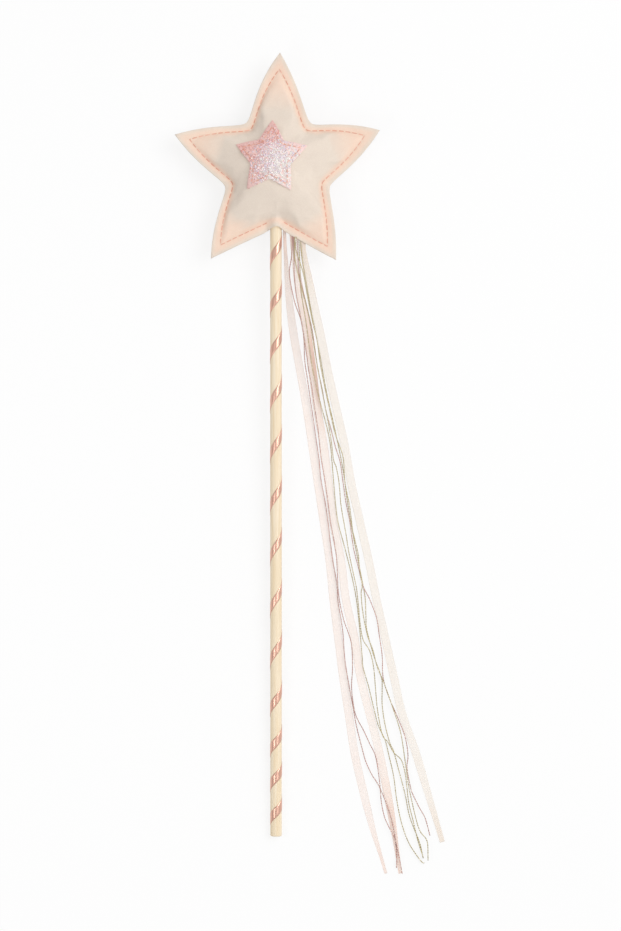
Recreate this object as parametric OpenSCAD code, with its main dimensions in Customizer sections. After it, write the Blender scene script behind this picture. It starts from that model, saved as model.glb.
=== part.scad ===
// Toy magic wand: a stuffed felt star on a wooden stick, with ribbons and metallic threads sewn into
// the bottom seam. It lies on its back on a table. X points to the right of the star, Y from the
// stick's end to the star and Z up from the table, with the origin under the middle of the wand.

/* [Star] */
// Centre of the star to the tip of a point
star_tip_r = 58; // [45:1:75]
// Centre of the star to the corner between two points
star_notch_r = 27; // [22:0.5:34]
// Centre of the star to the corner where the stick comes out
entry_notch_r = 31; // [26:0.5:38]
// Rounding of the corners between the points, as an angle seen from the centre
notch_round = 6; // [2:0.5:12]
// Thickness of the felt
felt_t = 1.4; // [1:0.1:2]
// Cut edge of the felt to the seam
seam_margin = 4; // [3:0.25:6]
// Height of the stuffed crown over the seam, inside the felt
star_crown = 13.5; // [9:0.5:18]
// Depth that the table presses the belly flat
belly_flat = 1.4; // [0.3:0.1:2]

/* [Stick] */
// Diameter of the stick
stick_d = 6; // [4:0.5:8]
// Length of the stick below the star
stick_shown = 317; // [200:1:400]
// Length of the stick inside the star
stick_depth = 44; // [30:1:50]
// Rounding of the stick's ends
stick_round = 0.8; // [0.2:0.1:1.2]
// Length of the glue collar round the stick
glue_len = 10; // [6:0.5:14]
// Thickness of the glue collar
glue_t = 1; // [0.6:0.1:1.4]

/* [Foil] */
// Width of the foil band, along the stick
foil_w = 6; // [3:0.5:10]
// Thickness of the foil band
foil_t = 0.12; // [0.08:0.02:0.3]
// Step of the band from turn to turn
foil_pitch = 26; // [16:0.5:40]
// Step of the last turns, at the end of the stick
foil_end_pitch = 19.5; // [14:0.5:40]
// Number of turns at the closer step
foil_end_turns = 3; // [1:1:4]
// Bare wood between the star and the band
foil_start = 7; // [1:0.5:10]
// Bare wood below the band, at the end of the stick
foil_bare = 7; // [3:0.5:20]

/* [Glitter star] */
// Centre of the glitter star to a tip
glitter_tip_r = 20; // [14:0.5:24]
// Centre of the glitter star to the corner between two points
glitter_notch_r = 10.5; // [8:0.5:13]
// Thickness of the glitter cloth
glitter_t = 0.7; // [0.4:0.1:1.2]
// Turn of the glitter star, clockwise
glitter_turn = 3.5; // [0:0.5:20]
// Place of the glitter star to the right of the star's centre
glitter_x = -3; // [-5:0.5:5]
// Place of the glitter star above the star's centre
glitter_y = 5; // [-5:0.5:6]
// Edge of the glitter star to its row of stitches
glitter_margin = 1.6; // [1:0.1:2.5]

/* [Stitches] */
// Diameter of the sewing thread
thread_d = 0.5; // [0.3:0.05:0.8]
// Length of a stitch in the seam
stitch_len = 2.9; // [2:0.1:4]
// Length of a stitch on the glitter star
glitter_stitch_len = 2; // [1.4:0.1:3]
// Felt between two stitches
stitch_gap = 0.7; // [0.4:0.1:1.2]

/* [Streamers] */
// Width of a ribbon
ribbon_w = 4.5; // [3:0.25:5]
// Width of a ribbon where it is gathered at the seam
ribbon_root_w = 1; // [0.6:0.1:2]
// Thickness of a ribbon
ribbon_t = 0.25; // [0.15:0.05:0.3]
// Diameter of a metallic thread
tinsel_d = 0.6; // [0.4:0.05:0.7]

/* [Hidden] */
$fn = 48;

// A star has five points: a tip every 72 degrees, and a corner half way between two tips
points = 5;
half_point = 180 / points;
// Steps round the star and round the glitter star, which fall on every tip and every corner
star_steps = 60;
glitter_steps = 40;

// Clearances between pieces that are sewn, glued or wound together
panel_gap = 0.02;
fill_gap = 0.1;
stick_fit = 0.3;
glue_fit = 0.05;
foil_fit = 0.02;
glitter_gap = 0.4;
thread_gap = 0.03;
glitter_thread_gap = 0.12;

// Shape of the stuffed crown: how bluntly it starts at the seam, and how round its points become
crown_power = 0.65;
crown_tip_round = 20;

// Height of the seam over the table, and the scale that takes the cut edge to the seam
seam_z = felt_t + star_crown - belly_flat;
star_edge = norm([star_tip_r - star_notch_r * cos(half_point), star_notch_r * sin(half_point)]);
star_edge_in = star_tip_r * star_notch_r * sin(half_point) / star_edge;
seam_scale = 1 - seam_margin / star_edge_in;
// The row of stitches lies on the flat border, just outside the crown
row_out = 0.6;
row_scale = 1 - (seam_margin - row_out) / star_edge_in;

// The stick comes out of the corner at the bottom and leans down until its end lies on the table
stick_r = stick_d / 2;
entry_r = star_r(180);
stick_lean = asin((seam_z - stick_r) / stick_shown);
star_y = (entry_r + stick_shown * cos(stick_lean) - star_tip_r) / 2;
entry_y = star_y - entry_r;
glue_in = entry_r * (1 - seam_scale) + 2 * felt_t;
// Felt left unsewn on both sides of the stick
open_margin = 1;
open_half = stick_r + stick_fit + open_margin;

// Rings of the crown, as shares of the way from the centre to the seam
crown_rings = [0.18, 0.36, 0.54, 0.7, 0.83, 0.93];

// The slot between the panels, along the edge on the right of the stick, that holds the streamers' ends
slot_start = open_half;
slot_half_h = 0.75;
slot_depth = 8;
// Ends in the slot, side by side from the left: which of them are ribbons, their step and their depth
end_count = 10;
ribbon_ends = [0, 3, 9];
end_step = 1.1;
end_start = 1.2;
slot_long = (end_count + 1) * end_step;
// Slope of the star's edge there
edge_lean = atan2(star_tip_r * cos(half_point) - entry_notch_r, star_tip_r * sin(half_point));

// Heights at which the streamers lie on each other on the table, and how far out each comes down
ribbon_step = 0.35;
ribbon_count = len(ribbon_ends);
tinsel_base = ribbon_count * ribbon_step + tinsel_d / 2;
tinsel_gap = 0.05;
tinsel_step = tinsel_d + tinsel_gap;
ribbon_drop = [36, 42, 46];
tinsel_drop = 100;
// Heights at which they leave the seam, below and above its middle
ribbon_below = 1.6;
tinsel_above = 0.1;
ribbon_root_z = seam_z - ribbon_below;
tinsel_root_z = seam_z + tinsel_above;
tinsel_root = [10.6, 108.7];
ribbon_gather = 22;
// Rings of a ribbon for each stretch of its route
ribbon_steps = 3;

// Routes of the streamers on the table, from the seam to the cut end
left_route = [
    [4.5, 111.3], [5, 100], [6.5, 80], [9, 60], [12.5, 40], [16, 20], [19, 0], [22, -20], [25, -40],
    [28, -60], [30, -80], [32.5, -100], [35, -120], [38, -140], [41, -160], [45.5, -180], [50.5, -200],
    [53.5, -210], [57.5, -223.5]
];
middle_route = [
    [8.5, 109.6], [9.5, 100], [12.5, 80], [16, 60], [19, 40], [21.5, 20], [25, 0], [27.5, -20],
    [30, -40], [34, -60], [36.5, -80], [41, -100], [44, -120], [49, -140], [54, -160], [58, -180],
    [61.5, -200], [63, -210], [65, -223.5]
];
right_route = [
    [14, 107.2], [14.5, 100], [18.5, 80], [23, 60], [27, 40], [31.5, 20], [36, 0], [39.5, -20],
    [44, -40], [48.5, -60], [52.5, -80], [57, -100], [61.5, -120], [66, -140], [73, -160], [79, -180],
    [85, -200], [87, -207]
];
rose_route_1 = [
    [8.5, 109.6], [8.5, 104], [8, 98], [7, 91], [8, 83], [10, 74.5], [13, 66], [14.5, 56.5], [15, 45],
    [16.5, 34.5], [18, 24], [19.5, 14], [21, 3.5], [22.5, -7], [23.5, -17.5], [25.5, -28], [27, -38],
    [28.5, -51], [29.5, -59], [31.5, -70], [32.5, -81.5], [34, -90.5], [35, -98], [36, -111.5],
    [38, -124], [40, -135], [42, -146], [45, -158], [47, -165], [50, -171.5], [54, -178], [58.5, -189],
    [61.5, -200], [63, -211.5], [63, -220.5]
];
rose_route_2 = [
    [9.2, 109.3], [9.3, 103], [9.4, 97], [9.5, 90], [10.5, 79.5], [12.5, 69.5], [14.5, 58], [16, 48],
    [17, 40], [18.5, 32], [20, 21.5], [22, 8.5], [23.5, -5.5], [25.5, -17.5], [27, -28], [28.5, -39.5],
    [30, -47.5], [31.5, -57], [32, -65], [32.5, -75], [33.5, -82.5], [35.5, -91], [38, -98],
    [39.5, -104], [40, -115.5], [39.5, -126.5], [41, -138], [43, -143.5], [45.5, -148], [49, -155.5],
    [52, -162], [54, -174], [55, -185.5], [56.5, -193], [58.5, -198], [62, -205], [64, -213],
    [66, -223.5]
];
rose_route_3 = [
    [11.3, 108.4], [11.4, 103], [11.6, 97], [12, 90], [15.5, 75.5], [19, 60], [21.5, 42.5], [24, 30.5],
    [26, 19], [28.5, 10], [31, 0], [33.5, -8], [35, -18.5], [36.5, -29], [38.5, -39], [40.5, -53],
    [43, -63], [45.5, -73], [49, -80], [52.5, -89.5], [54, -99], [55.5, -109.5], [56, -121], [59, -131],
    [63.5, -141.5], [67.5, -152], [69, -161.5], [68.5, -168], [70.5, -179], [72.5, -184], [75, -189],
    [78, -194.5], [80.5, -203.5]
];
gold_route_1 = [
    [10.6, 108.7], [10.5, 102.5], [12.5, 96], [14.5, 89], [16.5, 78], [19, 65.5], [21.5, 55], [23, 44],
    [25.5, 31], [28, 19.5], [31, 6.5], [35, -5.5], [36, -18.5], [38.5, -31.5], [40, -43.5], [41, -48],
    [43, -56.5], [43.5, -62], [45, -72.5], [44.5, -77], [45.5, -87.5], [48, -99.5], [50.5, -106],
    [53, -115.5], [56, -122.5], [61, -136.5], [65, -149], [67, -161], [69, -175.5], [71, -185.5],
    [73.5, -196], [75.5, -201.5], [79, -206.5], [79.5, -216.5]
];
gold_route_2 = [
    [12, 108.1], [12.2, 102], [12.5, 95], [13, 81.5], [15.5, 66], [17.5, 50.5], [19, 41], [20.5, 34],
    [23.5, 21.5], [26.5, 10.5], [28.5, 0], [29.5, -11], [31, -29], [32.5, -40], [35, -49.5], [37.5, -59],
    [40, -69.5], [42, -80], [43.5, -93], [45, -109.5], [45.5, -115.5], [48.5, -126], [51, -136.5],
    [53.5, -146], [57, -153.5], [59, -161.5], [61.5, -172.5], [63, -184], [65.5, -196.5], [69.5, -207.5],
    [75.5, -216.5], [77.5, -218]
];
gold_route_3 = [
    [9.9, 109], [9.7, 104], [9.7, 99], [11, 92], [14, 80], [17, 68], [22, 40], [28, 8.5], [30, -6.5],
    [31.5, -11], [33, -19.5], [34, -31], [36.5, -45.5], [38, -55], [40, -64.5], [42, -74], [43, -82.5],
    [44, -93], [45.5, -101], [49, -107], [51, -115.5], [52, -126.5], [53, -137.5], [55.5, -150.5],
    [58.5, -154.5], [61.5, -160], [65.5, -164], [67.5, -171], [68.5, -179], [69.5, -187], [71.5, -195],
    [74, -205.5], [77, -215]
];
gold_route_4 = [
    [12.7, 107.8], [13.3, 102], [14, 96], [15, 90], [18.5, 70], [22.5, 50], [26.5, 28], [31, 8],
    [35, -12], [37.5, -30], [41, -50], [44, -65], [46.5, -78.5], [47, -89], [47.5, -96], [51, -109],
    [55, -120.5], [55.5, -125.5], [55.5, -135], [57, -145.5], [59.5, -155], [61.5, -159.5],
    [64.5, -170.5], [67.5, -182], [70, -194], [75, -207], [77, -215.5]
];

// How far a metallic thread is stacked over the lowest one, so that crossing threads clear each other
rose_level_1 = 0;
rose_level_2 = 1;
rose_level_3 = 1;
gold_level_1 = 2;
gold_level_2 = 0;
gold_level_3 = 2;
gold_level_4 = 0;

// Angle from the nearest tip of a star, from 0 at the tip to half a point at the corner
function from_tip(a) = abs((a + 361 * half_point) % (2 * half_point) - half_point);

// A rounded angle: the same far from 0, never less than a share of soft near it
function rounded(a, soft) =
    half_point * sqrt((a * a + soft * soft) / (half_point * half_point + soft * soft));

// Distance from a star's centre to its edge, where the edge from a tip to a corner is a straight line
function edge_r(a, tip_r, notch_r, soft_tip, soft_notch) =
    let (
        at_tip = soft_tip > 0 ? rounded(from_tip(a), soft_tip) : from_tip(a),
        at_notch = rounded(half_point - at_tip, soft_notch)
    )
    sin(half_point) / (sin(at_notch) / tip_r + sin(half_point - at_notch) / notch_r);

// The felt star's cut edge, at an angle measured clockwise from its top point
function star_r(a, soft_tip = 0) =
    edge_r(a, star_tip_r, abs(a - 180) < half_point ? entry_notch_r : star_notch_r, soft_tip, notch_round);

// The glitter star's cut edge
function glitter_r(a) = edge_r(a, glitter_tip_r, glitter_notch_r, 0, notch_round);

// A point of the plane at a clockwise angle and a distance
function polar(a, r) = [r * sin(a), r * cos(a)];

// Height of the crown over the seam, at a share of the way from the centre to the seam
function crown(s) = star_crown * pow(max(0, 1 - s * s), crown_power);

// Distance from the centre at that share: the points get rounder towards the middle
function crown_r(a, s) = s * seam_scale * star_r(a, crown_tip_round * (1 - s));

// That share for a point at a clockwise angle and a distance from the centre
function crown_share(a, r, s = 0.5, tries = 16) =
    let (edge = seam_scale * star_r(a, crown_tip_round * (1 - s)))
    tries == 0 ? s : crown_share(a, r, min(1, r / edge), tries - 1);

// Top of the front felt over a point, measured from the star's centre
function front_z(p) =
    seam_z + felt_t + crown(crown_share((atan2(p.x, p.y) + 360) % 360, norm([p.x, p.y])));

// One ring of the crown at one height
function crown_ring(s, z) =
    [for (i = [0:star_steps - 1]) let (a = i * 360 / star_steps) concat(polar(a, crown_r(a, s)), z)];

// The ring at the cut edge of the felt
function edge_ring(z) =
    [for (i = [0:star_steps - 1]) let (a = i * 360 / star_steps) concat(polar(a, star_r(a)), z)];

// A unit vector, and the direction of a path at one of its points
function unit(v) = v / norm(v);
function heading(path, i) = unit(path[min(i + 1, len(path) - 1)] - path[max(i - 1, 0)]);

// A smooth way down from 1 to 0
function fall(u) = u >= 1 ? 0 : 1 - u * u * (3 - 2 * u);

// A streamer's route with its height: it leaves the seam level and comes down to the table
function laid(route, root, root_z, rest_z, drop) =
    [for (p = route) concat(p, rest_z + (root_z - rest_z) * fall(norm(p - root) / drop))];

// A smooth curve through a path's points, with steps points for each stretch
function smooth(path, steps) = concat(
    [
        for (i = [0:len(path) - 2], k = [0:steps - 1])
            let (
                a = path[max(i - 1, 0)],
                b = path[i],
                c = path[i + 1],
                d = path[min(i + 2, len(path) - 1)],
                u = k / steps,
                bend = 2 * a - 5 * b + 4 * c - d,
                twist = 3 * b - a - 3 * c + d
            )
            0.5 * (2 * b + (c - a) * u + bend * u * u + twist * u * u * u)
    ],
    [path[len(path) - 1]]
);

// The foil's height along the stick after some turns: the last turns have the closer step
foil_reach = stick_shown - foil_bare - foil_start - foil_w;
foil_turns = (foil_reach - foil_end_turns * foil_end_pitch) / foil_pitch + foil_end_turns;
function foil_z(turn) =
    foil_start + foil_w / 2 + min(turn, foil_turns - foil_end_turns) * foil_pitch
    + max(0, turn - foil_turns + foil_end_turns) * foil_end_pitch;

// The foil's rings, each with two points on the wood and two outside
foil_steps = 24;
foil_in_r = (stick_r + foil_fit) / cos(180 / foil_steps);
foil_out_r = foil_in_r + foil_t;
function foil_ring(turn) =
    [
        for (corner = [[foil_in_r, -1], [foil_out_r, -1], [foil_out_r, 1], [foil_in_r, 1]])
            concat(polar(360 * turn, corner[0]), foil_z(turn) + corner[1] * foil_w / 2)
    ];
foil_count = floor(foil_turns * foil_steps);
foil_rings = [for (i = [0:foil_count]) foil_ring(i / foil_steps)];
foil_turn_gap =
    min([for (i = [0:foil_count - foil_steps]) norm(foil_rings[i + foil_steps][0] - foil_rings[i][3])]);
echo(least_gap_between_foil_turns = foil_turn_gap);

// A solid through closed rings with the same number of points, capped at both ends
module skin(rings) {
    n = len(rings);
    m = len(rings[0]);
    polyhedron(
        points = [for (ring = rings) each ring],
        faces = concat(
            [[for (j = [0:m - 1]) j]],
            [
                for (i = [0:n - 2], j = [0:m - 1])
                    let (a = i * m + j, b = i * m + (j + 1) % m)
                    each [[b, a, a + m], [b, a + m, b + m]]
            ],
            [[for (j = [0:m - 1]) n * m - 1 - j]]
        )
    );
}

// A solid between two crowned sheets, each a centre point and rings from the middle out
module crowned(top_centre, top_rings, low_centre, low_rings) {
    n = len(top_rings);
    m = len(top_rings[0]);
    low = 1 + n * m;
    polyhedron(
        points = concat(
            [top_centre],
            [for (r = top_rings) each r],
            [low_centre],
            [for (r = low_rings) each r]
        ),
        faces = concat(
            [for (j = [0:m - 1]) [0, 1 + j, 1 + (j + 1) % m]],
            [for (j = [0:m - 1]) [low, low + 1 + (j + 1) % m, low + 1 + j]],
            [
                for (i = [0:n - 2], j = [0:m - 1])
                    let (a = 1 + i * m + j, b = 1 + i * m + (j + 1) % m)
                    each [
                        [a, a + m, b + m],
                        [a, b + m, b],
                        [low + a, low + b + m, low + a + m],
                        [low + a, low + b, low + b + m]
                    ]
            ],
            [
                for (j = [0:m - 1])
                    let (a = 1 + (n - 1) * m + j, b = 1 + (n - 1) * m + (j + 1) % m)
                    each [[b, a, low + a], [b, low + a, low + b]]
            ]
        )
    );
}

// A ribbon along a path: flat, gathered at its first end
module ribbon(path) {
    skin([
        for (i = [0:len(path) - 1])
            let (
                way = heading(path, i),
                side = unit([way.y, -way.x, 0]),
                gather = fall(norm(path[i] - path[0]) / ribbon_gather),
                half = (ribbon_w + (ribbon_root_w - ribbon_w) * gather) / 2
            )
            [
                path[i] + side * half,
                path[i] - side * half,
                path[i] - side * half + [0, 0, ribbon_t],
                path[i] + side * half + [0, 0, ribbon_t]
            ]
    ]);
}

// A round thread along a path
module strand(path, d) {
    sides = 8;
    skin([
        for (i = [0:len(path) - 1])
            let (way = heading(path, i), side = unit([way.y, -way.x, 0]), up = cross(side, way))
            [
                for (j = [0:sides - 1])
                    let (a = j * 360 / sides)
                    path[i] + (cos(a) * side - sin(a) * up) * d / 2
            ]
    ]);
}

// One stitch: a straight bit of thread between two points, shortened at both ends
module stitch(p, q) {
    way = unit(q - p);
    cut = stitch_gap / 2;
    translate(p + way * cut)
        rotate([0, acos(way.z), atan2(way.y, way.x)])
            cylinder(h = norm(q - p) - 2 * cut, d = thread_d, $fn = 6);
}

// The points of a row of stitches along a star's edge, from tip to corner and on to the next tip
function row_angles(tip_r, notch_r, scale, step) =
    let (
        tip = polar(0, tip_r * scale),
        corner = polar(half_point, notch_r * scale),
        count = round(norm(tip - corner) / step),
        out = [for (j = [0:count - 1]) let (p = tip + (corner - tip) * j / count) atan2(p.x, p.y)],
        back = [
            for (j = [0:count - 1])
                let (p = corner + (tip - corner) * j / count)
                2 * half_point - atan2(p.x, p.y)
        ]
    )
    [for (k = [0:points - 1]) each [for (a = concat(out, back)) a + k * 2 * half_point]];

// The seam's row of stitches at one height, left open where the stick comes out
module seam_row(z) {
    angles = row_angles(star_tip_r, star_notch_r, row_scale, stitch_len + stitch_gap);
    row = [for (a = angles) concat(polar(a, row_scale * star_r(a)), z)];
    for (i = [0:len(row) - 1]) {
        p = row[i];
        q = row[(i + 1) % len(row)];
        shown = min(abs(p.x), abs(q.x)) > open_half || p.y > 0;
        if (shown) stitch(p, q);
    }
}

// Places things by the star's centre, and along the stick from the star's edge towards its end
module at_star() {
    translate([0, star_y, 0]) children();
}
module at_entry() {
    translate([0, entry_y, seam_z]) rotate([90 + stick_lean, 0, 0]) children();
}

// The opening in both panels for the stick, and the slot between them for the streamers' ends
module stick_opening() {
    at_entry()
        translate([0, 0, -stick_depth])
            cylinder(h = stick_depth + entry_r, r = stick_r + stick_fit);
}
module at_slot() {
    translate([0, star_y - entry_notch_r, seam_z])
        rotate([0, 0, -edge_lean])
            translate([slot_start, 0, 0])
                children();
}
module streamer_slot() {
    at_slot()
        translate([0, -slot_depth, -slot_half_h])
            cube([slot_long, 2 * slot_depth, 2 * slot_half_h]);
}

module stick() {
    r = stick_r;
    e = stick_round;
    bend = [for (a = [0:15:90]) [r - e + e * cos(a), e - e * sin(a)]];
    low = [for (i = [len(bend) - 1:-1:0]) [bend[i].x, bend[i].y - stick_depth]];
    high = [for (p = bend) [p.x, stick_shown - p.y]];
    color("#efe0c3")
        at_entry()
            rotate_extrude()
                polygon(concat([[0, -stick_depth]], low, high, [[0, stick_shown]]));
}

module foil_spiral() {
    color("#cfa68e") at_entry() skin(foil_rings);
}

module glue_collar() {
    color("#f3ead8")
        at_entry()
            translate([0, 0, -glue_in - glue_len])
                difference() {
                    cylinder(h = glue_len, r = stick_r + glue_t);
                    translate([0, 0, -1]) cylinder(h = glue_len + 2, r = stick_r + glue_fit);
                }
}

module front_panel() {
    inner_z = seam_z + panel_gap / 2;
    outer_z = seam_z + felt_t;
    shares = concat(crown_rings, 1);
    color("#eedbc8")
        difference() {
            at_star()
                crowned(
                    [0, 0, outer_z + star_crown],
                    concat([for (s = shares) crown_ring(s, outer_z + crown(s))], [edge_ring(outer_z)]),
                    [0, 0, inner_z + star_crown],
                    concat([for (s = shares) crown_ring(s, inner_z + crown(s))], [edge_ring(inner_z)])
                );
            stick_opening();
            streamer_slot();
        }
}

module back_panel() {
    inner_z = seam_z - panel_gap / 2;
    outer_z = seam_z - felt_t;
    floor_in = star_crown - belly_flat;
    shares = concat(crown_rings, 1);
    color("#eedbc8")
        difference() {
            at_star()
                crowned(
                    [0, 0, inner_z - floor_in],
                    concat(
                        [for (s = shares) crown_ring(s, inner_z - min(crown(s), floor_in))],
                        [edge_ring(inner_z)]
                    ),
                    [0, 0, outer_z - star_crown],
                    concat([for (s = shares) crown_ring(s, outer_z - crown(s))], [edge_ring(outer_z)])
                );
            stick_opening();
            streamer_slot();
            at_star()
                translate([-star_tip_r, -star_tip_r, -seam_z])
                    cube([2 * star_tip_r, 2 * star_tip_r, seam_z]);
        }
}

module stuffing() {
    floor_in = star_crown - belly_flat;
    color("#fbf8f2")
        difference() {
            at_star()
                crowned(
                    [0, 0, seam_z + star_crown - fill_gap],
                    [for (s = crown_rings) crown_ring(s, seam_z + crown(s) - fill_gap)],
                    [0, 0, seam_z - floor_in + fill_gap],
                    [for (s = crown_rings) crown_ring(s, seam_z - min(crown(s), floor_in) + fill_gap)]
                );
            at_entry()
                translate([0, 0, -stick_depth - fill_gap])
                    cylinder(h = 2 * stick_depth, r = stick_r + fill_gap);
            at_entry()
                translate([0, 0, -glue_in - glue_len - fill_gap])
                    cylinder(h = entry_r, r = stick_r + glue_t + fill_gap);
            streamer_slot();
        }
}

module seam_thread_front() {
    color("#e2a085") at_star() seam_row(seam_z + felt_t + thread_d / 2 + thread_gap);
}

module seam_thread_back() {
    color("#e2a085") at_star() seam_row(seam_z - felt_t - thread_d / 2 - thread_gap);
}

// A point of the glitter star laid on the front panel, at a height over the felt
function on_front(a, r, over) =
    let (p = [glitter_x, glitter_y] + polar(a + glitter_turn, r)) concat(p, front_z(p) + over);
function glitter_ring(share, over) =
    [
        for (i = [0:glitter_steps - 1])
            let (a = i * 360 / glitter_steps)
            on_front(a, share * glitter_r(a), over)
    ];

module glitter_star() {
    shares = [0.35, 0.7, 1];
    over = glitter_gap + glitter_t;
    color("#e6beb6")
        at_star()
            crowned(
                on_front(0, 0, over),
                [for (s = shares) glitter_ring(s, over)],
                on_front(0, 0, glitter_gap),
                [for (s = shares) glitter_ring(s, glitter_gap)]
            );
}

module glitter_thread() {
    edge = norm([glitter_tip_r - glitter_notch_r * cos(half_point), glitter_notch_r * sin(half_point)]);
    edge_in = glitter_tip_r * glitter_notch_r * sin(half_point) / edge;
    scale = 1 - glitter_margin / edge_in;
    angles = row_angles(glitter_tip_r, glitter_notch_r, scale, glitter_stitch_len + stitch_gap);
    over = glitter_gap + glitter_t + thread_d / 2 + glitter_thread_gap;
    row = [for (a = angles) on_front(a, scale * glitter_r(a), over)];
    color("#dd9884")
        at_star()
            for (i = [0:len(row) - 1]) stitch(row[i], row[(i + 1) % len(row)]);
}

// The ends that the seam holds, side by side in the slot: the three ribbons and the seven threads
module streamer_ends() {
    long = slot_depth - 2 * end_start;
    color("#f3ddd0")
        at_slot()
            for (i = [0:end_count - 1])
                translate([(i + 1) * end_step, end_start, 0]) {
                    if (len(search(i, ribbon_ends)) > 0)
                        translate([-ribbon_root_w / 2, 0, -ribbon_t / 2])
                            cube([ribbon_root_w, long, ribbon_t]);
                    else
                        rotate([-90, 0, 0]) cylinder(h = long, d = tinsel_d);
                }
}

// A ribbon on its smoothed route, in its place from the left
module streamer(route, place) {
    over = place * ribbon_step;
    ribbon(laid(smooth(route, ribbon_steps), route[0], ribbon_root_z + over, over, ribbon_drop[place]));
}
module left_ribbon() {
    color("#f8e6e0") streamer(left_route, 0);
}
module middle_ribbon() {
    color("#f9dfca") streamer(middle_route, 1);
}
module right_ribbon() {
    color("#f6eedf") streamer(right_route, 2);
}

// A metallic thread on its route, at its level over the ribbons
module tinsel(route, level) {
    over = level * tinsel_step;
    strand(laid(route, tinsel_root, tinsel_root_z + over, tinsel_base + over, tinsel_drop), tinsel_d);
}
module rose_thread_1() {
    color("#b08a86") tinsel(rose_route_1, rose_level_1);
}
module rose_thread_2() {
    color("#b08a86") tinsel(rose_route_2, rose_level_2);
}
module rose_thread_3() {
    color("#b08a86") tinsel(rose_route_3, rose_level_3);
}
module gold_thread_1() {
    color("#ab9a6c") tinsel(gold_route_1, gold_level_1);
}
module gold_thread_2() {
    color("#ab9a6c") tinsel(gold_route_2, gold_level_2);
}
module gold_thread_3() {
    color("#ab9a6c") tinsel(gold_route_3, gold_level_3);
}
module gold_thread_4() {
    color("#ab9a6c") tinsel(gold_route_4, gold_level_4);
}

stick();
foil_spiral();
glue_collar();
front_panel();
back_panel();
stuffing();
seam_thread_front();
seam_thread_back();
glitter_star();
glitter_thread();
streamer_ends();
left_ribbon();
middle_ribbon();
right_ribbon();
rose_thread_1();
rose_thread_2();
rose_thread_3();
gold_thread_1();
gold_thread_2();
gold_thread_3();
gold_thread_4();
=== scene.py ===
# %% [markdown]
# # A toy magic wand
# A child's wand lies on its back on a table: a stuffed felt star, a wooden stick wound with rose gold foil,
# and ribbons and metallic threads that hang from the star's seam. The solids give every size and place.
# This lesson dresses them: each step says what the piece is, how it could be made, and why it is made so.

import bpy
import numpy as np
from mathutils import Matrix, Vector


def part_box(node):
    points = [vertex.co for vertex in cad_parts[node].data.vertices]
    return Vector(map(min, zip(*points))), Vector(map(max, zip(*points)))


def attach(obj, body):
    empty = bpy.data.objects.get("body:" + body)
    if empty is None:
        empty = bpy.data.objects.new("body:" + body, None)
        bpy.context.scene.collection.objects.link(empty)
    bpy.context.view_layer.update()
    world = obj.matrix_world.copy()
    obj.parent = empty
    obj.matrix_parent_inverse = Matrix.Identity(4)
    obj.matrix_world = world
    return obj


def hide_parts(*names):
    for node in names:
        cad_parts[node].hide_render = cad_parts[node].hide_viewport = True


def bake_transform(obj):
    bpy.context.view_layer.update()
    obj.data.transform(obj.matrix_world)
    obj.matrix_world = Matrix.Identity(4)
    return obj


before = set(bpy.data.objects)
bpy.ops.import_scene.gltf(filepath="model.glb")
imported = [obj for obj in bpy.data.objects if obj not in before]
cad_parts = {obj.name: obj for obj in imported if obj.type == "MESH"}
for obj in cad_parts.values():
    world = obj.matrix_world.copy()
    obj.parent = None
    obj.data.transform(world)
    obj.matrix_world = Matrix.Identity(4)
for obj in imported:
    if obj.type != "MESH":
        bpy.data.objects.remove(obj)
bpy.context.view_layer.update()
scene = bpy.context.scene
MM = 0.001

# %% [markdown]
# ## The camera
# The wand was photographed from straight above with a long lens, so it shows almost no perspective. A real
# lens far away does the same. The stick is 6 mm thick, which gives the size of a pixel, and the distance
# follows from the lens.

# %% Camera straight above the table
IMAGE_H = 931
MM_PER_PIXEL = 0.522
VIEW_CENTRE = np.array([18.0, -9.9])
VIEW_HEIGHT = 8.0
LENS = 200.0
SENSOR = 36.0
camera_distance = IMAGE_H * MM_PER_PIXEL * LENS / SENSOR
camera_data = bpy.data.cameras.new("camera")
camera_data.lens = LENS
camera_data.sensor_width = SENSOR
camera_data.clip_end = 20
camera = bpy.data.objects.new("camera", camera_data)
camera.location = (*(VIEW_CENTRE * MM), (VIEW_HEIGHT + camera_distance) * MM)
scene.collection.objects.link(camera)
scene.camera = camera
scene.view_settings.view_transform = "Standard"
print("camera", round(camera_distance), "mm above the wand")


# %% [markdown]
# ## Surfaces from arrays
# A shape is a function of two parameters. On a grid of parameter values it gives a whole array of points at
# once, and the faces join neighbours in the grid. That is quicker than adding vertices one by one, and the
# formula stays in sight.

# %% Grids of faces and new pieces
def grid_corners(rows, cols, around=False):
    """Row and column numbers of the four corners of every face of a grid; with around, the last column joins
    the first."""
    row, col = np.meshgrid(np.arange(rows - 1), np.arange(cols - (not around)), indexing="ij")
    corner_rows = np.stack([row, row, row + 1, row + 1], -1).reshape(-1, 4)
    corner_cols = np.stack([col, col + 1, col + 1, col], -1).reshape(-1, 4)
    return corner_rows, corner_cols


def turned_outward(points, faces):
    """The faces of a closed shape, turned over if the volume that they enclose comes out negative."""
    a, b, c, d = (points[faces[:, k]] for k in range(4))
    volume = np.einsum("ij,ij->", a, np.cross(b, c) + np.cross(c, d))
    return faces[:, ::-1] if volume < 0 else faces


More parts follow.
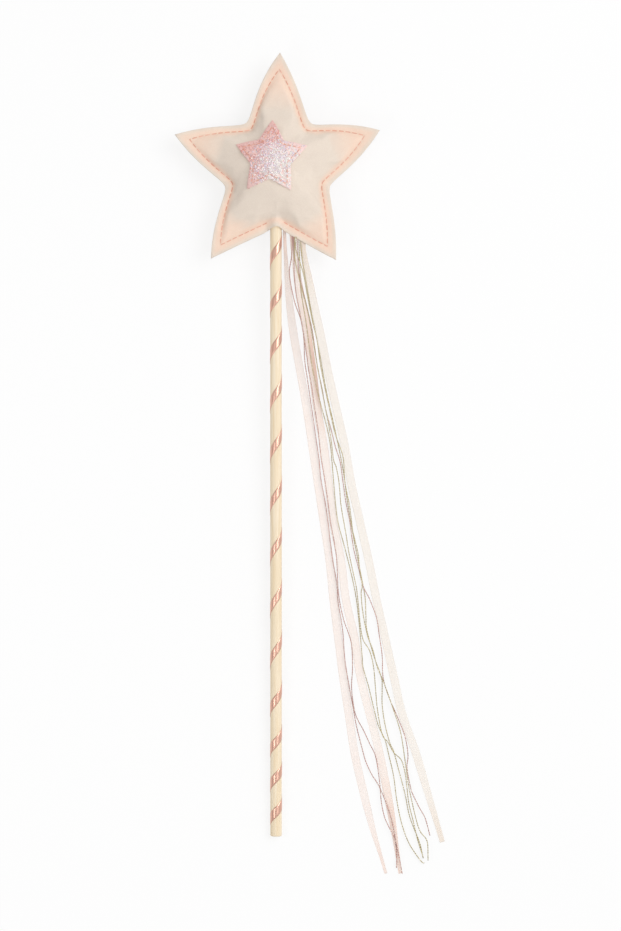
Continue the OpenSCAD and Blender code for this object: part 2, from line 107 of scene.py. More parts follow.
def new_piece(name, points, faces, body, slot, replaced=(), extra_faces=()):
    """A smooth mesh piece that rides on a body if one is given, else on none; it may stand for solids, which
    it hides. The material slot that it is given is not used."""
    mesh = bpy.data.meshes.new(name)
    corners = np.asarray(faces).tolist() + list(extra_faces)
    mesh.from_pydata(np.asarray(points).reshape(-1, 3).tolist(), [], corners)
    mesh.polygons.foreach_set("use_smooth", np.ones(len(mesh.polygons), bool))
    mesh.update()
    piece = bpy.data.objects.new(name, mesh)
    scene.collection.objects.link(piece)
    if body:
        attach(piece, body)
    if replaced:
        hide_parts(*replaced)
    return piece


print("a grid of 3 by 4 points has", len(grid_corners(3, 4)[0]), "faces")


# %% Values on pieces, and tubes
def set_uv(piece, corner_uv):
    """A UV map from one pair of numbers for each face corner, in the order of the faces."""
    layer = piece.data.uv_layers.new(name="along")
    values = np.zeros((len(piece.data.loops), 2))
    values[: len(corner_uv)] = corner_uv
    layer.data.foreach_set("uv", values.ravel())


def set_values(piece, name, values, domain="POINT"):
    """A number for each point or edge of a piece, which its material or a modifier can read."""
    attribute = piece.data.attributes.new(name, "FLOAT", domain)
    attribute.data.foreach_set("value", np.asarray(values, np.float32))


def tube_piece(name, rings, along, **facts):
    """A closed tube from rings of points, rows by columns; UV is millimetres along and turns around."""
    rows, cols = rings.shape[:2]
    corner_rows, corner_cols = grid_corners(rows, cols, around=True)
    points = rings.reshape(-1, 3)
    faces = corner_rows * cols + corner_cols % cols
    kept = turned_outward(points, faces)
    turned = kept is not faces
    caps = [list(range(cols)), list(range((rows - 1) * cols, rows * cols))]
    caps[0 if not turned else 1].reverse()
    piece = new_piece(name, points * MM, kept, extra_faces=caps, **facts)
    uv = np.stack([along[corner_rows], corner_cols / cols], -1)
    set_uv(piece, (uv[:, ::-1] if turned else uv).reshape(-1, 2))
    return piece


# %% [markdown]
# ## Finishes
# A finish is a small network of shader nodes. Written out link by link it is hard to read, so one class wraps
# a socket, and sums and products of sockets read like ordinary sums. Colours go through Mix nodes.

# %% Shader maths as Python expressions
class Value:
    """A number or colour that a node gives out. Sums and products of them add Math nodes."""

    def __init__(self, finish, socket):
        self.finish = finish
        self.socket = socket

    def with_other(self, operation, other):
        return self.finish.node("ShaderNodeMath", {"operation": operation}, {0: self, 1: other})

    def __add__(self, other):
        return self.with_other("ADD", other)

    def __mul__(self, other):
        return self.with_other("MULTIPLY", other)

    __radd__ = __add__
    __rmul__ = __mul__


# %% Finishes as small networks
class Finish:
    """A material with one Principled shader; constants go straight to its sockets."""

    def __init__(self, name, **constants):
        self.material = bpy.data.materials.new(name)
        self.material.use_nodes = True
        self.tree = self.material.node_tree
        self.shader = self.tree.nodes["Principled BSDF"]
        for socket, value in constants.items():
            self.shader.inputs[socket.replace("_", " ")].default_value = value

    def node(self, kind, settings=None, sockets=None, output=0):
        """A node of that kind: its settings first, then the values or links of its sockets."""
        made = self.tree.nodes.new(kind)
        for name, value in (settings or {}).items():
            setattr(made, name, value)
        for name, value in (sockets or {}).items():
            if isinstance(value, Value):
                self.tree.links.new(value.socket, made.inputs[name])
            else:
                made.inputs[name].default_value = value
        return Value(self, made.outputs[output])

    def mix(self, share, first, second):
        """A colour that goes from the first to the second as the share goes from 0 to 1."""
        return self.node("ShaderNodeMix", {"data_type": "RGBA"}, {0: share, 6: first, 7: second}, 2)

    def noise(self, place, scale, detail=3.0, distortion=0.0):
        """Soft noise, from 0 to 1, with patches about one over the scale in size."""
        sockets = {"Vector": place, "Scale": scale, "Detail": detail, "Distortion": distortion}
        return self.node("ShaderNodeTexNoise", None, sockets, "Fac")

    def steps(self, value, low, high):
        """A smooth step from 0 to 1 as the value goes from low to high."""
        sockets = {"Value": value, "From Min": low, "From Max": high}
        return self.node("ShaderNodeMapRange", {"interpolation_type": "SMOOTHSTEP"}, sockets, "Result")

    def stretched(self, place, scale, rotation=(0, 0, 0)):
        """A place turned and then stretched, for patterns that run along a piece."""
        sockets = {"Vector": place, "Scale": scale, "Rotation": rotation}
        return self.node("ShaderNodeMapping", None, sockets, "Vector")

    def read(self, name, output="Fac"):
        """A piece's own attribute."""
        return self.node("ShaderNodeAttribute", {"attribute_name": name}, None, output)

    def place(self, kind="Object"):
        """Where a point is: on the object, in metres, or on the UV map."""
        return self.node("ShaderNodeTexCoord", None, None, kind)

    def bump(self, height, strength, distance):
        """Small relief, with its height in metres at full strength."""
        sockets = {"Height": height, "Strength": strength, "Distance": distance}
        self.link("Normal", self.node("ShaderNodeBump", None, sockets, "Normal"))

    def link(self, socket, value):
        self.tree.links.new(value.socket, self.shader.inputs[socket])

    def on(self, *pieces):
        """Puts this finish on pieces, in place of what they had."""
        for piece in pieces:
            piece.data.materials.clear()
            piece.data.materials.append(self.material)
        print(self.material.name, "on", len(pieces), "piece(s)")


# %% Colours as they look on screen
def tone(red, green, blue):
    """A colour given as it looks on screen, from 0 to 255, in the linear form that shaders use."""
    screen = np.array([red, green, blue]) / 255
    linear = np.where(screen <= 0.04045, screen / 12.92, ((screen + 0.055) / 1.055) ** 2.4)
    return (*linear, 1.0)


print("middle grey on screen is", round(tone(128, 128, 128)[0], 2), "in linear form")


# %% [markdown]
# ## Ribbons and threads
# Three sheer ribbons and seven metallic threads are sewn into the bottom seam and lie on the table. Each is a
# limp cord of a fixed length. A curve object with a bevel would do for a round cord, but a ribbon is gathered
# at the seam and a metallic thread is a flat strip twisted on itself, so both are profiles carried along a
# smooth route. The route's points are the solids' own.

# %% Routes of the ribbons
left_route = [
    [4.5, 111.3], [5, 100], [6.5, 80], [9, 60], [12.5, 40], [16, 20], [19, 0], [22, -20], [25, -40],
    [28, -60], [30, -80], [32.5, -100], [35, -120], [38, -140], [41, -160], [45.5, -180], [50.5, -200],
    [53.5, -210], [57.5, -223.5],
]
middle_route = [
    [8.5, 109.6], [9.5, 100], [12.5, 80], [16, 60], [19, 40], [21.5, 20], [25, 0], [27.5, -20],
    [30, -40], [34, -60], [36.5, -80], [41, -100], [44, -120], [49, -140], [54, -160], [58, -180],
    [61.5, -200], [63, -210], [65, -223.5],
]
right_route = [
    [14, 107.2], [14.5, 100], [18.5, 80], [23, 60], [27, 40], [31.5, 20], [36, 0], [39.5, -20],
    [44, -40], [48.5, -60], [52.5, -80], [57, -100], [61.5, -120], [66, -140], [73, -160], [79, -180],
    [85, -200], [87, -207],
]
print("ribbon routes:", [len(route) for route in (left_route, middle_route, right_route)], "points")

# %% Routes of the rose threads
rose_route_1 = [
    [8.5, 109.6], [8.5, 104], [8, 98], [7, 91], [8, 83], [10, 74.5], [13, 66], [14.5, 56.5], [15, 45],
    [16.5, 34.5], [18, 24], [19.5, 14], [21, 3.5], [22.5, -7], [23.5, -17.5], [25.5, -28], [27, -38],
    [28.5, -51], [29.5, -59], [31.5, -70], [32.5, -81.5], [34, -90.5], [35, -98], [36, -111.5],
    [38, -124], [40, -135], [42, -146], [45, -158], [47, -165], [50, -171.5], [54, -178], [58.5, -189],
    [61.5, -200], [63, -211.5], [63, -220.5],
]
rose_route_2 = [
    [9.2, 109.3], [9.3, 103], [9.4, 97], [9.5, 90], [10.5, 79.5], [12.5, 69.5], [14.5, 58], [16, 48],
    [17, 40], [18.5, 32], [20, 21.5], [22, 8.5], [23.5, -5.5], [25.5, -17.5], [27, -28], [28.5, -39.5],
    [30, -47.5], [31.5, -57], [32, -65], [32.5, -75], [33.5, -82.5], [35.5, -91], [38, -98],
    [39.5, -104], [40, -115.5], [39.5, -126.5], [41, -138], [43, -143.5], [45.5, -148], [49, -155.5],
    [52, -162], [54, -174], [55, -185.5], [56.5, -193], [58.5, -198], [62, -205], [64, -213],
    [66, -223.5],
]
rose_route_3 = [
    [11.3, 108.4], [11.4, 103], [11.6, 97], [12, 90], [15.5, 75.5], [19, 60], [21.5, 42.5], [24, 30.5],
    [26, 19], [28.5, 10], [31, 0], [33.5, -8], [35, -18.5], [36.5, -29], [38.5, -39], [40.5, -53],
    [43, -63], [45.5, -73], [49, -80], [52.5, -89.5], [54, -99], [55.5, -109.5], [56, -121], [59, -131],
    [63.5, -141.5], [67.5, -152], [69, -161.5], [68.5, -168], [70.5, -179], [72.5, -184], [75, -189],
    [78, -194.5], [80.5, -203.5],
]
print("rose routes:", [len(route) for route in (rose_route_1, rose_route_2, rose_route_3)], "points")

# %% Routes of the gold threads
gold_route_1 = [
    [10.6, 108.7], [10.5, 102.5], [12.5, 96], [14.5, 89], [16.5, 78], [19, 65.5], [21.5, 55], [23, 44],
    [25.5, 31], [28, 19.5], [31, 6.5], [35, -5.5], [36, -18.5], [38.5, -31.5], [40, -43.5], [41, -48],
    [43, -56.5], [43.5, -62], [45, -72.5], [44.5, -77], [45.5, -87.5], [48, -99.5], [50.5, -106],
    [53, -115.5], [56, -122.5], [61, -136.5], [65, -149], [67, -161], [69, -175.5], [71, -185.5],
    [73.5, -196], [75.5, -201.5], [79, -206.5], [79.5, -216.5],
]
gold_route_2 = [
    [12, 108.1], [12.2, 102], [12.5, 95], [13, 81.5], [15.5, 66], [17.5, 50.5], [19, 41], [20.5, 34],
    [23.5, 21.5], [26.5, 10.5], [28.5, 0], [29.5, -11], [31, -29], [32.5, -40], [35, -49.5], [37.5, -59],
    [40, -69.5], [42, -80], [43.5, -93], [45, -109.5], [45.5, -115.5], [48.5, -126], [51, -136.5],
    [53.5, -146], [57, -153.5], [59, -161.5], [61.5, -172.5], [63, -184], [65.5, -196.5], [69.5, -207.5],
    [75.5, -216.5], [77.5, -218],
]
gold_route_3 = [
    [9.9, 109], [9.7, 104], [9.7, 99], [11, 92], [14, 80], [17, 68], [22, 40], [28, 8.5], [30, -6.5],
    [31.5, -11], [33, -19.5], [34, -31], [36.5, -45.5], [38, -55], [40, -64.5], [42, -74], [43, -82.5],
    [44, -93], [45.5, -101], [49, -107], [51, -115.5], [52, -126.5], [53, -137.5], [55.5, -150.5],
    [58.5, -154.5], [61.5, -160], [65.5, -164], [67.5, -171], [68.5, -179], [69.5, -187], [71.5, -195],
    [74, -205.5], [77, -215],
]
gold_route_4 = [
    [12.7, 107.8], [13.3, 102], [14, 96], [15, 90], [18.5, 70], [22.5, 50], [26.5, 28], [31, 8],
    [35, -12], [37.5, -30], [41, -50], [44, -65], [46.5, -78.5], [47, -89], [47.5, -96], [51, -109],
    [55, -120.5], [55.5, -125.5], [55.5, -135], [57, -145.5], [59.5, -155], [61.5, -159.5],
    [64.5, -170.5], [67.5, -182], [70, -194], [75, -207], [77, -215.5],
]
print("the first gold route has", len(gold_route_1), "points")

# %% Smooth routes
ROUTE_PARTS = 16


def lengths_along(path):
    """Distance from the start of a path to each of its points."""
    return np.concatenate([[0], np.cumsum(np.linalg.norm(np.diff(path, axis=0), axis=1))])


def smooth_route(points, step):
    """A Catmull-Rom curve through the points: each stretch blends its two ends and their neighbours with a
    cubic. The curve is then sampled at even steps along its length."""
    points = np.array(points, float)
    ends = np.vstack([2 * points[:1] - points[1:2], points, 2 * points[-1:] - points[-2:-1]])
    a, b, c, d = ends[:-3, None], ends[1:-2, None], ends[2:-1, None], ends[3:, None]
    u = np.linspace(0, 1, ROUTE_PARTS, endpoint=False)[None, :, None]
    second, third = 2 * a - 5 * b + 4 * c - d, 3 * b - a - 3 * c + d
    curve = 0.5 * (2 * b + (c - a) * u + second * u**2 + third * u**3)
    curve = np.vstack([curve.reshape(-1, points.shape[1]), points[-1:]])
    reach = lengths_along(curve)
    stops = np.linspace(0, reach[-1], round(reach[-1] / step) + 1)
    return np.column_stack([np.interp(stops, reach, curve[:, k]) for k in range(curve.shape[1])])


print("left ribbon on the table:", round(lengths_along(smooth_route(left_route, 1.0))[-1]), "mm")

# %% From the seam down to the table
TUCKED = 12
TUCK_IN = 3.2
TUCK_TURN = 1.4
seam_z = (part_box("front_panel")[0].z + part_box("back_panel")[1].z) / 2 / MM
print("seam at", round(seam_z, 2), "mm over the table")


def smooth_step(value):
    """From 0 to 1 with level ends, as the value goes from 0 to 1."""
    value = np.clip(value, 0, 1)
    return value * value * (3 - 2 * value)


def laid(route, root, root_z, rest_z, drop):
    """A route with its height: level at the seam, then a smooth S-shaped fall to its resting height. A short
    stretch before the root, between the layers of felt, is added at the seam's own height."""
    fall = 1 - smooth_step(np.linalg.norm(route - np.array(root), axis=1) / drop)
    path = np.column_stack([route, rest_z + (root_z - rest_z) * fall])
    spacing = np.linalg.norm(route[1] - route[0])
    way = (route[1] - route[0]) / spacing
    back = np.arange(TUCKED, 0, -1) * spacing
    back = back[back <= TUCK_IN]
    height = path[0, 2] + (seam_z - path[0, 2]) * smooth_step(back / TUCK_TURN)
    return np.vstack([np.column_stack([route[0] - back[:, None] * way, height]), path])


def across(path):
    """Unit vectors level across a path, and square to it and to them."""
    way = np.gradient(path, axis=0)
    way /= np.linalg.norm(way, axis=1, keepdims=True)
    side = np.column_stack([way[:, 1], -way[:, 0], np.zeros(len(way))])
    side /= np.linalg.norm(side, axis=1, keepdims=True)
    return side, np.cross(side, way)


def bent_at_seam(piece):
    """Bakes the streamer's place into its points; the streamer rides on no body and does not turn at the
    seam."""
    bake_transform(piece)


# %% Density of a ribbon's cloth
GATHER_DENSE = 0.6
TAIL_DENSE = 0.35


def cloth_density(along, share, gather, fold, folded):
    """How dense the cloth looks, from 0 to 1: more in the gathers, in the tail and where it is doubled. Each
    row of folded is a bell curve along the route, on one edge or on the whole width."""
    dense = np.tile((GATHER_DENSE * gather**4 + TAIL_DENSE * fold**2)[:, None], len(share))
    for middle, spread, depth, edge_side in folded:
        bell = depth * np.exp(-(((along - middle) / spread) ** 2))
        dense += bell[:, None] * smooth_step(0.5 + edge_side * share)
    return np.clip(dense, 0, 1)


# %% Three sheer ribbons
RIBBON_W = 4.2
RIBBON_T = 0.12
RIBBON_LAYER = 0.25
RIBBON_STEP = 0.35
RIBBON_TAIL = 45.0
RIBBON_BELOW = 1.6
RIBBON_SAMPLE = 1.0
RIBBON_COLS = 13
THIN_EDGE, THIN_POWER = 0.96, 12
PLEATS = 3
PLEAT = 0.12
CURL = 0.05
CURL_LENGTH = 17


def ribbon(name, slot, route, place, drop, gathered, tail_w, folded):
    """A flat strip along a route. Its half width grows with a smooth step out of the gathers at the seam, and
    shrinks towards a folded tail; pleats are a cosine across the width that fades with the gathers."""
    over = place * RIBBON_STEP
    flat = smooth_route(route, RIBBON_SAMPLE)
    path = laid(flat, route[0], seam_z - RIBBON_BELOW + over, over, drop)
    path[:, 2] += RIBBON_LAYER / 2
    along = lengths_along(path)
    root_w, gather_length = gathered
    gather = 1 - smooth_step((along - TUCK_IN) / gather_length)
    fold = smooth_step((along - along[-1] + RIBBON_TAIL) / RIBBON_TAIL)
    width = RIBBON_W + (root_w - RIBBON_W) * gather + (tail_w - RIBBON_W) * fold
    share = np.linspace(-1, 1, RIBBON_COLS)
    pleats = PLEAT * gather[:, None] * np.cos(PLEATS * np.pi * share)
    curl = CURL * share**2 * np.sin(along / CURL_LENGTH + place)[:, None]
    side, up = across(path)
    middle = path[:, None] + side[:, None] * (share[None, :, None] * width[:, None, None] / 2)
    middle = middle + up[:, None] * (pleats + curl)[..., None]
    edge = np.sqrt(1 - (THIN_EDGE * share) ** THIN_POWER)
    half_t = up[:, None] * (RIBBON_T / 2 * edge)[None, :, None]
    rings = np.concatenate([middle + half_t, (middle - half_t)[:, ::-1]], 1)
    piece = tube_piece(
        f"sheer_ribbon_{name}", rings, along, body=None, slot=slot, replaced=[f"{name}_ribbon"]
    )
    set_values(piece, "across", np.tile(np.concatenate([share, share[::-1]]), len(path)))
    dense = cloth_density(along, share, gather, fold, folded)
    set_values(piece, "dense", np.concatenate([dense, dense[:, ::-1]], 1).ravel())
    bent_at_seam(piece)
    print(piece.name, round(along[-1]), "mm long")
    return piece


left_folds = [(30, 20, 0.2, 0)]
middle_folds = [(58, 42, 0.4, 0), (76, 24, 0.6, -1), (314, 20, 0.8, 0)]
right_folds = [(20, 14, 0.6, 0)]
left_ribbon = ribbon("left", "ribbon_pink", left_route, 0, 36, (1.6, 55), 1.5, left_folds)
middle_ribbon = ribbon("middle", "ribbon_peach", middle_route, 1, 42, (2.6, 26), 1.9, middle_folds)
right_ribbon = ribbon("right", "ribbon_cream", right_route, 2, 46, (2.8, 26), 2.6, right_folds)

# %% Seven metallic threads
YARN_D = 0.6
YARN_FLAT = 0.36
YARN_PITCH = 2.6
YARN_AIR = 0.05
YARN_STEP = YARN_D + YARN_AIR
YARN_BASE = 3 * RIBBON_STEP + YARN_D / 2
YARN_ROOT = [10.6, 108.7]
YARN_ABOVE = 0.1
YARN_DROP = 100
YARN_SAMPLE = 0.4
YARN_SIDES = 8


def metallic_thread(tint, number, route, level):
    """An oval profile carried along a route, turning steadily about it like a twisted flat strip."""
    over = level * YARN_STEP
    flat = smooth_route(route, YARN_SAMPLE)
    path = laid(flat, YARN_ROOT, seam_z + YARN_ABOVE + over, YARN_BASE + over, YARN_DROP)
    along = lengths_along(path)
    side, up = across(path)
    turn = 2 * np.pi * along / YARN_PITCH
    wide = side * np.cos(turn)[:, None] + up * np.sin(turn)[:, None]
    thin = up * np.cos(turn)[:, None] - side * np.sin(turn)[:, None]
    angle = np.linspace(0, 2 * np.pi, YARN_SIDES, endpoint=False)[None, :, None]
    rings = path[:, None] + wide[:, None] * np.cos(angle) * YARN_D / 2
    rings = rings + thin[:, None] * np.sin(angle) * YARN_FLAT / 2
    name, replaced = f"{tint}_yarn_{number}", [f"{tint}_thread_{number}"]
    piece = tube_piece(name, rings, along, body=None, slot=f"{tint}_yarn", replaced=replaced)
    bent_at_seam(piece)
    print(piece.name, round(along[-1]), "mm long")
    return piece


rose_routes = [(rose_route_1, 0), (rose_route_2, 1), (rose_route_3, 1)]
gold_routes = [(gold_route_1, 2), (gold_route_2, 0), (gold_route_3, 2), (gold_route_4, 0)]
rose_threads, gold_threads = (
    [metallic_thread(tint, number, route, level) for number, (route, level) in enumerate(routes, 1)]
    for tint, routes in (("rose", rose_routes), ("gold", gold_routes))
)

# %% [markdown]
# ## The star's pattern
# Two felt stars are cut to one outline and sewn together a little inside the edge. The outline is not quite
# regular, and its corners are rounded by the pull of the stuffing. One cubic curve runs from each tip to each
# corner. To stuff the star evenly, it needs faces of about one size: five kites, each a tip, two corners and
# the centre, are filled by blending their four edges.

# %% Outline of the star
STAR_CENTRE = np.array([0.2, 145.6])
STAR_TIPS = np.array([[2.1, 205.2], [54.1, 164.7], [31.3, 97.1], [-33.9, 97.9], [-52.7, 162.4]])
STAR_CORNERS = np.array([[18.3, 168.4], [28.2, 135.5], [0.5, 112.8], [-26.6, 135.5], [-15.7, 168.4]])
EDGE_BULGES = np.array([[0.12, 0.07], [0.1, 0.095], [0.065, 0.0], [-0.02, 0.09], [0.08, 0.075]])
CORNER_PULL = 0.11
EDGE_HANDLE = 0.55


def edge_curve(tip, corner, centre, bulge, pull, share):
    """A cubic from a corner to a tip: it leaves the corner along the corner's round and bulges a little
    outward."""
    run = tip - corner
    length = np.linalg.norm(run)
    out = np.array([-run[1], run[0]]) / length
    radial = (corner - centre) / np.linalg.norm(corner - centre)
    out = out if out @ radial > 0 else -out
    around = np.array([-radial[1], radial[0]])
    around = around if around @ run > 0 else -around
    first = corner + around * pull * length
    second = tip - run * EDGE_HANDLE + out * bulge * length
    t = share[:, None]
    return (1 - t) ** 3 * corner + 3 * t * (1 - t) ** 2 * first + 3 * t * t * (1 - t) * second + t**3 * tip


print("star", np.ptp(STAR_TIPS, axis=0).round(1), "mm across its tips")


# %% Kites that fill a star
def quad_blend(u, v, a, b, c, d):
    """A place inside four corners: from a to b as u goes from 0 to 1, and from a to c as v does."""
    return (1 - u) * (1 - v) * a + u * (1 - v) * b + (1 - u) * v * c + u * v * d


def star_kites(centre, tips, corners, bulges, pull, steps, scale):
    """Points of five kites, each a blend of its four edges: the two straight ones from the centre and the two
    curved ones of the outline, less the flat patch between its four corner points."""
    share = np.linspace(0, 1, steps + 1)
    u, v = share[:, None, None], share[None, :, None]
    kites = []
    for k, tip in enumerate(tips):
        corner_a, corner_b = corners[k - 1], corners[k]
        edge_a = edge_curve(tip, corner_a, centre, bulges[k, 0], pull, share)
        edge_b = edge_curve(tip, corner_b, centre, bulges[k, 1], pull, share)
        spoke_a = centre + share[:, None] * (corner_a - centre)
        spoke_b = centre + share[:, None] * (corner_b - centre)
        blend = (1 - v) * spoke_a[:, None] + v * edge_b[:, None] + (1 - u) * spoke_b[None] + u * edge_a[None]
        patch = quad_blend(u, v, centre, corner_a, corner_b, tip)
        kites.append(centre + scale * (blend - patch - centre))
    return np.array(kites)


# %% One sheet from the kites
def joined_kites(kites):
    """Kites sewn into one sheet: shared points counted once, faces, and the ring of points of the outline."""
    count, rows = kites.shape[0], kites.shape[1]
    keys = np.round(kites.reshape(-1, 2) * 1e4).astype(int)
    _, first, number = np.unique(keys, axis=0, return_index=True, return_inverse=True)
    points = kites.reshape(-1, 2)[first]
    number = number.reshape(count, rows, rows)
    corner_rows, corner_cols = grid_corners(rows, rows)
    faces = number[:, corner_rows, corner_cols].reshape(-1, 4)
    ring = np.concatenate([np.concatenate([n[-1, :-1], n[:0:-1, -1]]) for n in number])
    return points, faces, ring


SEAM_SHARE = 0.828
STAR_STEPS = 22
sheet_xy, sheet_faces, seam_ring = joined_kites(
    star_kites(STAR_CENTRE, STAR_TIPS, STAR_CORNERS, EDGE_BULGES, CORNER_PULL, STAR_STEPS, SEAM_SHARE)
)
outline_xy = STAR_CENTRE + (sheet_xy[seam_ring] - STAR_CENTRE) / SEAM_SHARE
print("star sheet:", len(sheet_xy), "points,", len(seam_ring), "round the seam")

# %% [markdown]
# ## Stuffing the star
# A stuffed star could be sculpted, but cloth knows better where it bulges and where it puckers. The two
# sheets start as a thin soap film: every inner point takes the mean height of its neighbours plus a little,
# which gives a smooth, low pillow. Then Blender's cloth, with pressure inside and the seam held, swells it to
# full size.

# %% Soap film
START_CROWN = 12.0
FILM_POWER = 0.7
FILM_ROUNDS = 1600


def soap_film(count, faces, ring):
    """Heights from 0 to 1: the mean of the neighbours plus a constant, over and over, with the ring at 0."""
    pairs = np.concatenate([faces[:, [k, (k + 1) % 4]] for k in range(4)])
    pairs = np.unique(np.sort(pairs, axis=1), axis=0)
    ends, others = np.concatenate([pairs, pairs[:, ::-1]]).T
    neighbours = np.bincount(ends, minlength=count)
    height = np.zeros(count)
    for _ in range(FILM_ROUNDS):
        height = np.bincount(ends, height[others], minlength=count) / neighbours + 1
        height[ring] = 0
    return height / height.max()


film = START_CROWN * soap_film(len(sheet_xy), sheet_faces, seam_ring) ** FILM_POWER
print("film's mean height", round(film.mean(), 2), "mm")

# %% Cloth with pressure
FULL_CROWN = 13.5
CLOTH_CAP = 7.0
CLOTH_FRAMES = 26
CLOTH_SETTINGS = {
    "quality": 8, "mass": 0.05, "tension_stiffness": 20, "compression_stiffness": 20, "shear_stiffness": 10,
    "bending_stiffness": 4, "shrink_min": -0.015, "use_pressure": True, "uniform_pressure_force": 10,
    "vertex_group_mass": "seam",
}


def swollen(points, faces, held):
    """The points after a cloth simulation with pressure inside, gravity off and the held points pinned."""
    mesh = bpy.data.meshes.new("swelling")
    mesh.from_pydata((points * MM).tolist(), [], faces.tolist())
    pillow = bpy.data.objects.new("swelling", mesh)
    scene.collection.objects.link(pillow)
    pins = pillow.vertex_groups.new(name="seam")
    pins.add(held.tolist(), 1.0, "REPLACE")
    cloth = pillow.modifiers.new("cloth", "CLOTH")
    for name, value in CLOTH_SETTINGS.items():
        setattr(cloth.settings, name, value)
    cloth.settings.effector_weights.gravity = 0
    cloth.collision_settings.use_collision = False
    for number in range(1, CLOTH_FRAMES + 1):
        scene.frame_set(number)
    shaped = pillow.evaluated_get(bpy.context.evaluated_depsgraph_get())
    moved = np.empty(len(points) * 3)
    shaped.data.vertices.foreach_get("co", moved)
    scene.frame_set(1)
    bpy.data.objects.remove(pillow)
    bpy.data.meshes.remove(mesh)
    step = moved.reshape(-1, 3) / MM - points
    reach = np.linalg.norm(step, axis=1, keepdims=True)
    return points + step * np.minimum(1, CLOTH_CAP / np.maximum(reach, 1e-9))


on_ring = np.zeros(len(sheet_xy), bool)
on_ring[seam_ring] = True
back_number = np.where(on_ring, np.arange(len(sheet_xy)), len(sheet_xy) - 1 + np.cumsum(~on_ring))
pillow_points = np.vstack([np.column_stack([sheet_xy, film]), np.column_stack([sheet_xy, -film])[~on_ring]])
pillow_faces = turned_outward(pillow_points, np.vstack([sheet_faces, back_number[sheet_faces][:, ::-1]]))
pillow_points = swollen(pillow_points, pillow_faces, seam_ring)
crown_scale = FULL_CROWN / pillow_points[:, 2].max()
pillow_points[:, 2] *= crown_scale
print("crown swelled to", FULL_CROWN, "mm, scaled by", round(crown_scale, 3))

# %% [markdown]
# ## Felt panels
# Each panel is one piece of felt: the swollen sheet inside the seam and a flat border outside it, where both
# layers lie on each other. At the bottom corner the felt goes over the stick. A panel is a closed shell, an
# outer and an inner sheet joined at the cut edge, so its thickness shows at the border.

# %% Border and stick tunnel
FELT_T = 1.4
STICK_R = 3.0
STICK_SHOWN = 317.0
BORDER_SHARES = np.array([0.07, 0.15, 0.26, 0.45, 0.66, 0.84, 0.95, 1.0])
# Less peach towards the border's cut edge and near the middle is painted shade: a greyer cream on the rim and
# in the corners' folds.
BORDER_PEACH_WITH_RIM_SHADE = np.array([1.0, 1.0, 0.99, 0.94, 0.85, 0.77, 0.7, 0.64])
PEACH_IN_PAINTED_CORNER_SHADE = 0.86
ROW_SHARE = 0.15
ROW_DENT = 0.32
EDGE_ROUND = 0.3
stick_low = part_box("stick")[0]
stick_slope = (seam_z - STICK_R) / STICK_SHOWN
entry_y = STAR_CORNERS[2, 1]
TUNNEL_HALF = 4.3
TUNNEL_ROOM = 0.2
TUNNEL_DRAW = 1.8
DRAW_REACH = 5
SEAM_EDGE_Y = STAR_CENTRE[1] + SEAM_SHARE * (entry_y - STAR_CENTRE[1])
WAVES = [(0.34, 7, 0.6), (0.26, 12, 2.1), (0.14, 23, 4.0)]


def ruffle(share):
    """Height of the border's gentle waves: three sines round the star that grow from the seam to the edge."""
    angle = np.linspace(0, 2 * np.pi, len(seam_ring), endpoint=False)
    return sum(high * np.sin(count * angle + start) for high, count, start in WAVES) * share**1.5


def stick_axis(y):
    """Height of the stick's middle at a place along it."""
    return seam_z + (y - entry_y) * stick_slope


def over_stick(points, side):
    """Felt lifted over the stick: a bell across the stick, as high as the stick and the felt."""
    bell = np.exp(-((points[:, 0] / TUNNEL_HALF) ** 2))
    lifted = side * (stick_axis(points[:, 1]) + side * (STICK_R + FELT_T + TUNNEL_ROOM) * bell)
    near = points[:, 1] < STAR_CENTRE[1]
    height = np.where(near, side * np.maximum(side * points[:, 2], lifted), points[:, 2])
    drawn = np.clip((SEAM_EDGE_Y - points[:, 1]) / DRAW_REACH, 0, 1) * TUNNEL_DRAW * bell
    return np.column_stack([points[:, 0], points[:, 1] + drawn * near, height])


print("stick rises by", round(stick_slope, 4), "mm a millimetre")


# %% Faces, normals and rows of a panel
def sheet_normals(points, faces):
    """Unit normals at the points: the sum of the cross products of the diagonals of the faces around each."""
    normal = np.cross(points[faces[:, 2]] - points[faces[:, 0]], points[faces[:, 3]] - points[faces[:, 1]])
    total = np.zeros_like(points)
    for k in range(4):
        np.add.at(total, faces[:, k], normal)
    return total / np.linalg.norm(total, axis=1, keepdims=True)


def panel_faces():
    """Faces of one sheet: the kites, then the border's rows from the seam's ring to the cut edge."""
    count, around = len(sheet_xy), len(seam_ring)
    rings = np.vstack([seam_ring, count + np.arange(len(BORDER_SHARES) * around).reshape(-1, around)])
    corner_rows, corner_cols = grid_corners(len(rings), around, around=True)
    border = rings[corner_rows, corner_cols % around]
    return np.vstack([sheet_faces, border]), rings[-1]


def border_row(share):
    """Points of the border at a share of the way from the seam to the cut edge."""
    return STAR_CENTRE + (SEAM_SHARE + (1 - SEAM_SHARE) * share) * (outline_xy - STAR_CENTRE)


print("faces of one sheet:", len(panel_faces()[0]))

# %% Two sheets of a felt panel
ROW_SPREAD = 0.1
LAYER_GAP = 0.01
TABLE_GAP = 0.05


def closed_shell(upper, lower, ring, count):
    """Faces of two sheets and a rim between their edges. The rim is turned so that no two faces run along an
    edge the same way."""
    after = np.roll(ring, -1)
    rim = np.column_stack([ring, ring + count, after + count, after])
    shell = np.vstack([upper, lower, rim])
    edges = np.concatenate([shell[:, [k, (k + 1) % 4]] for k in range(4)])
    return shell if len(np.unique(edges, axis=0)) == len(edges) else np.vstack([upper, lower, rim[:, ::-1]])


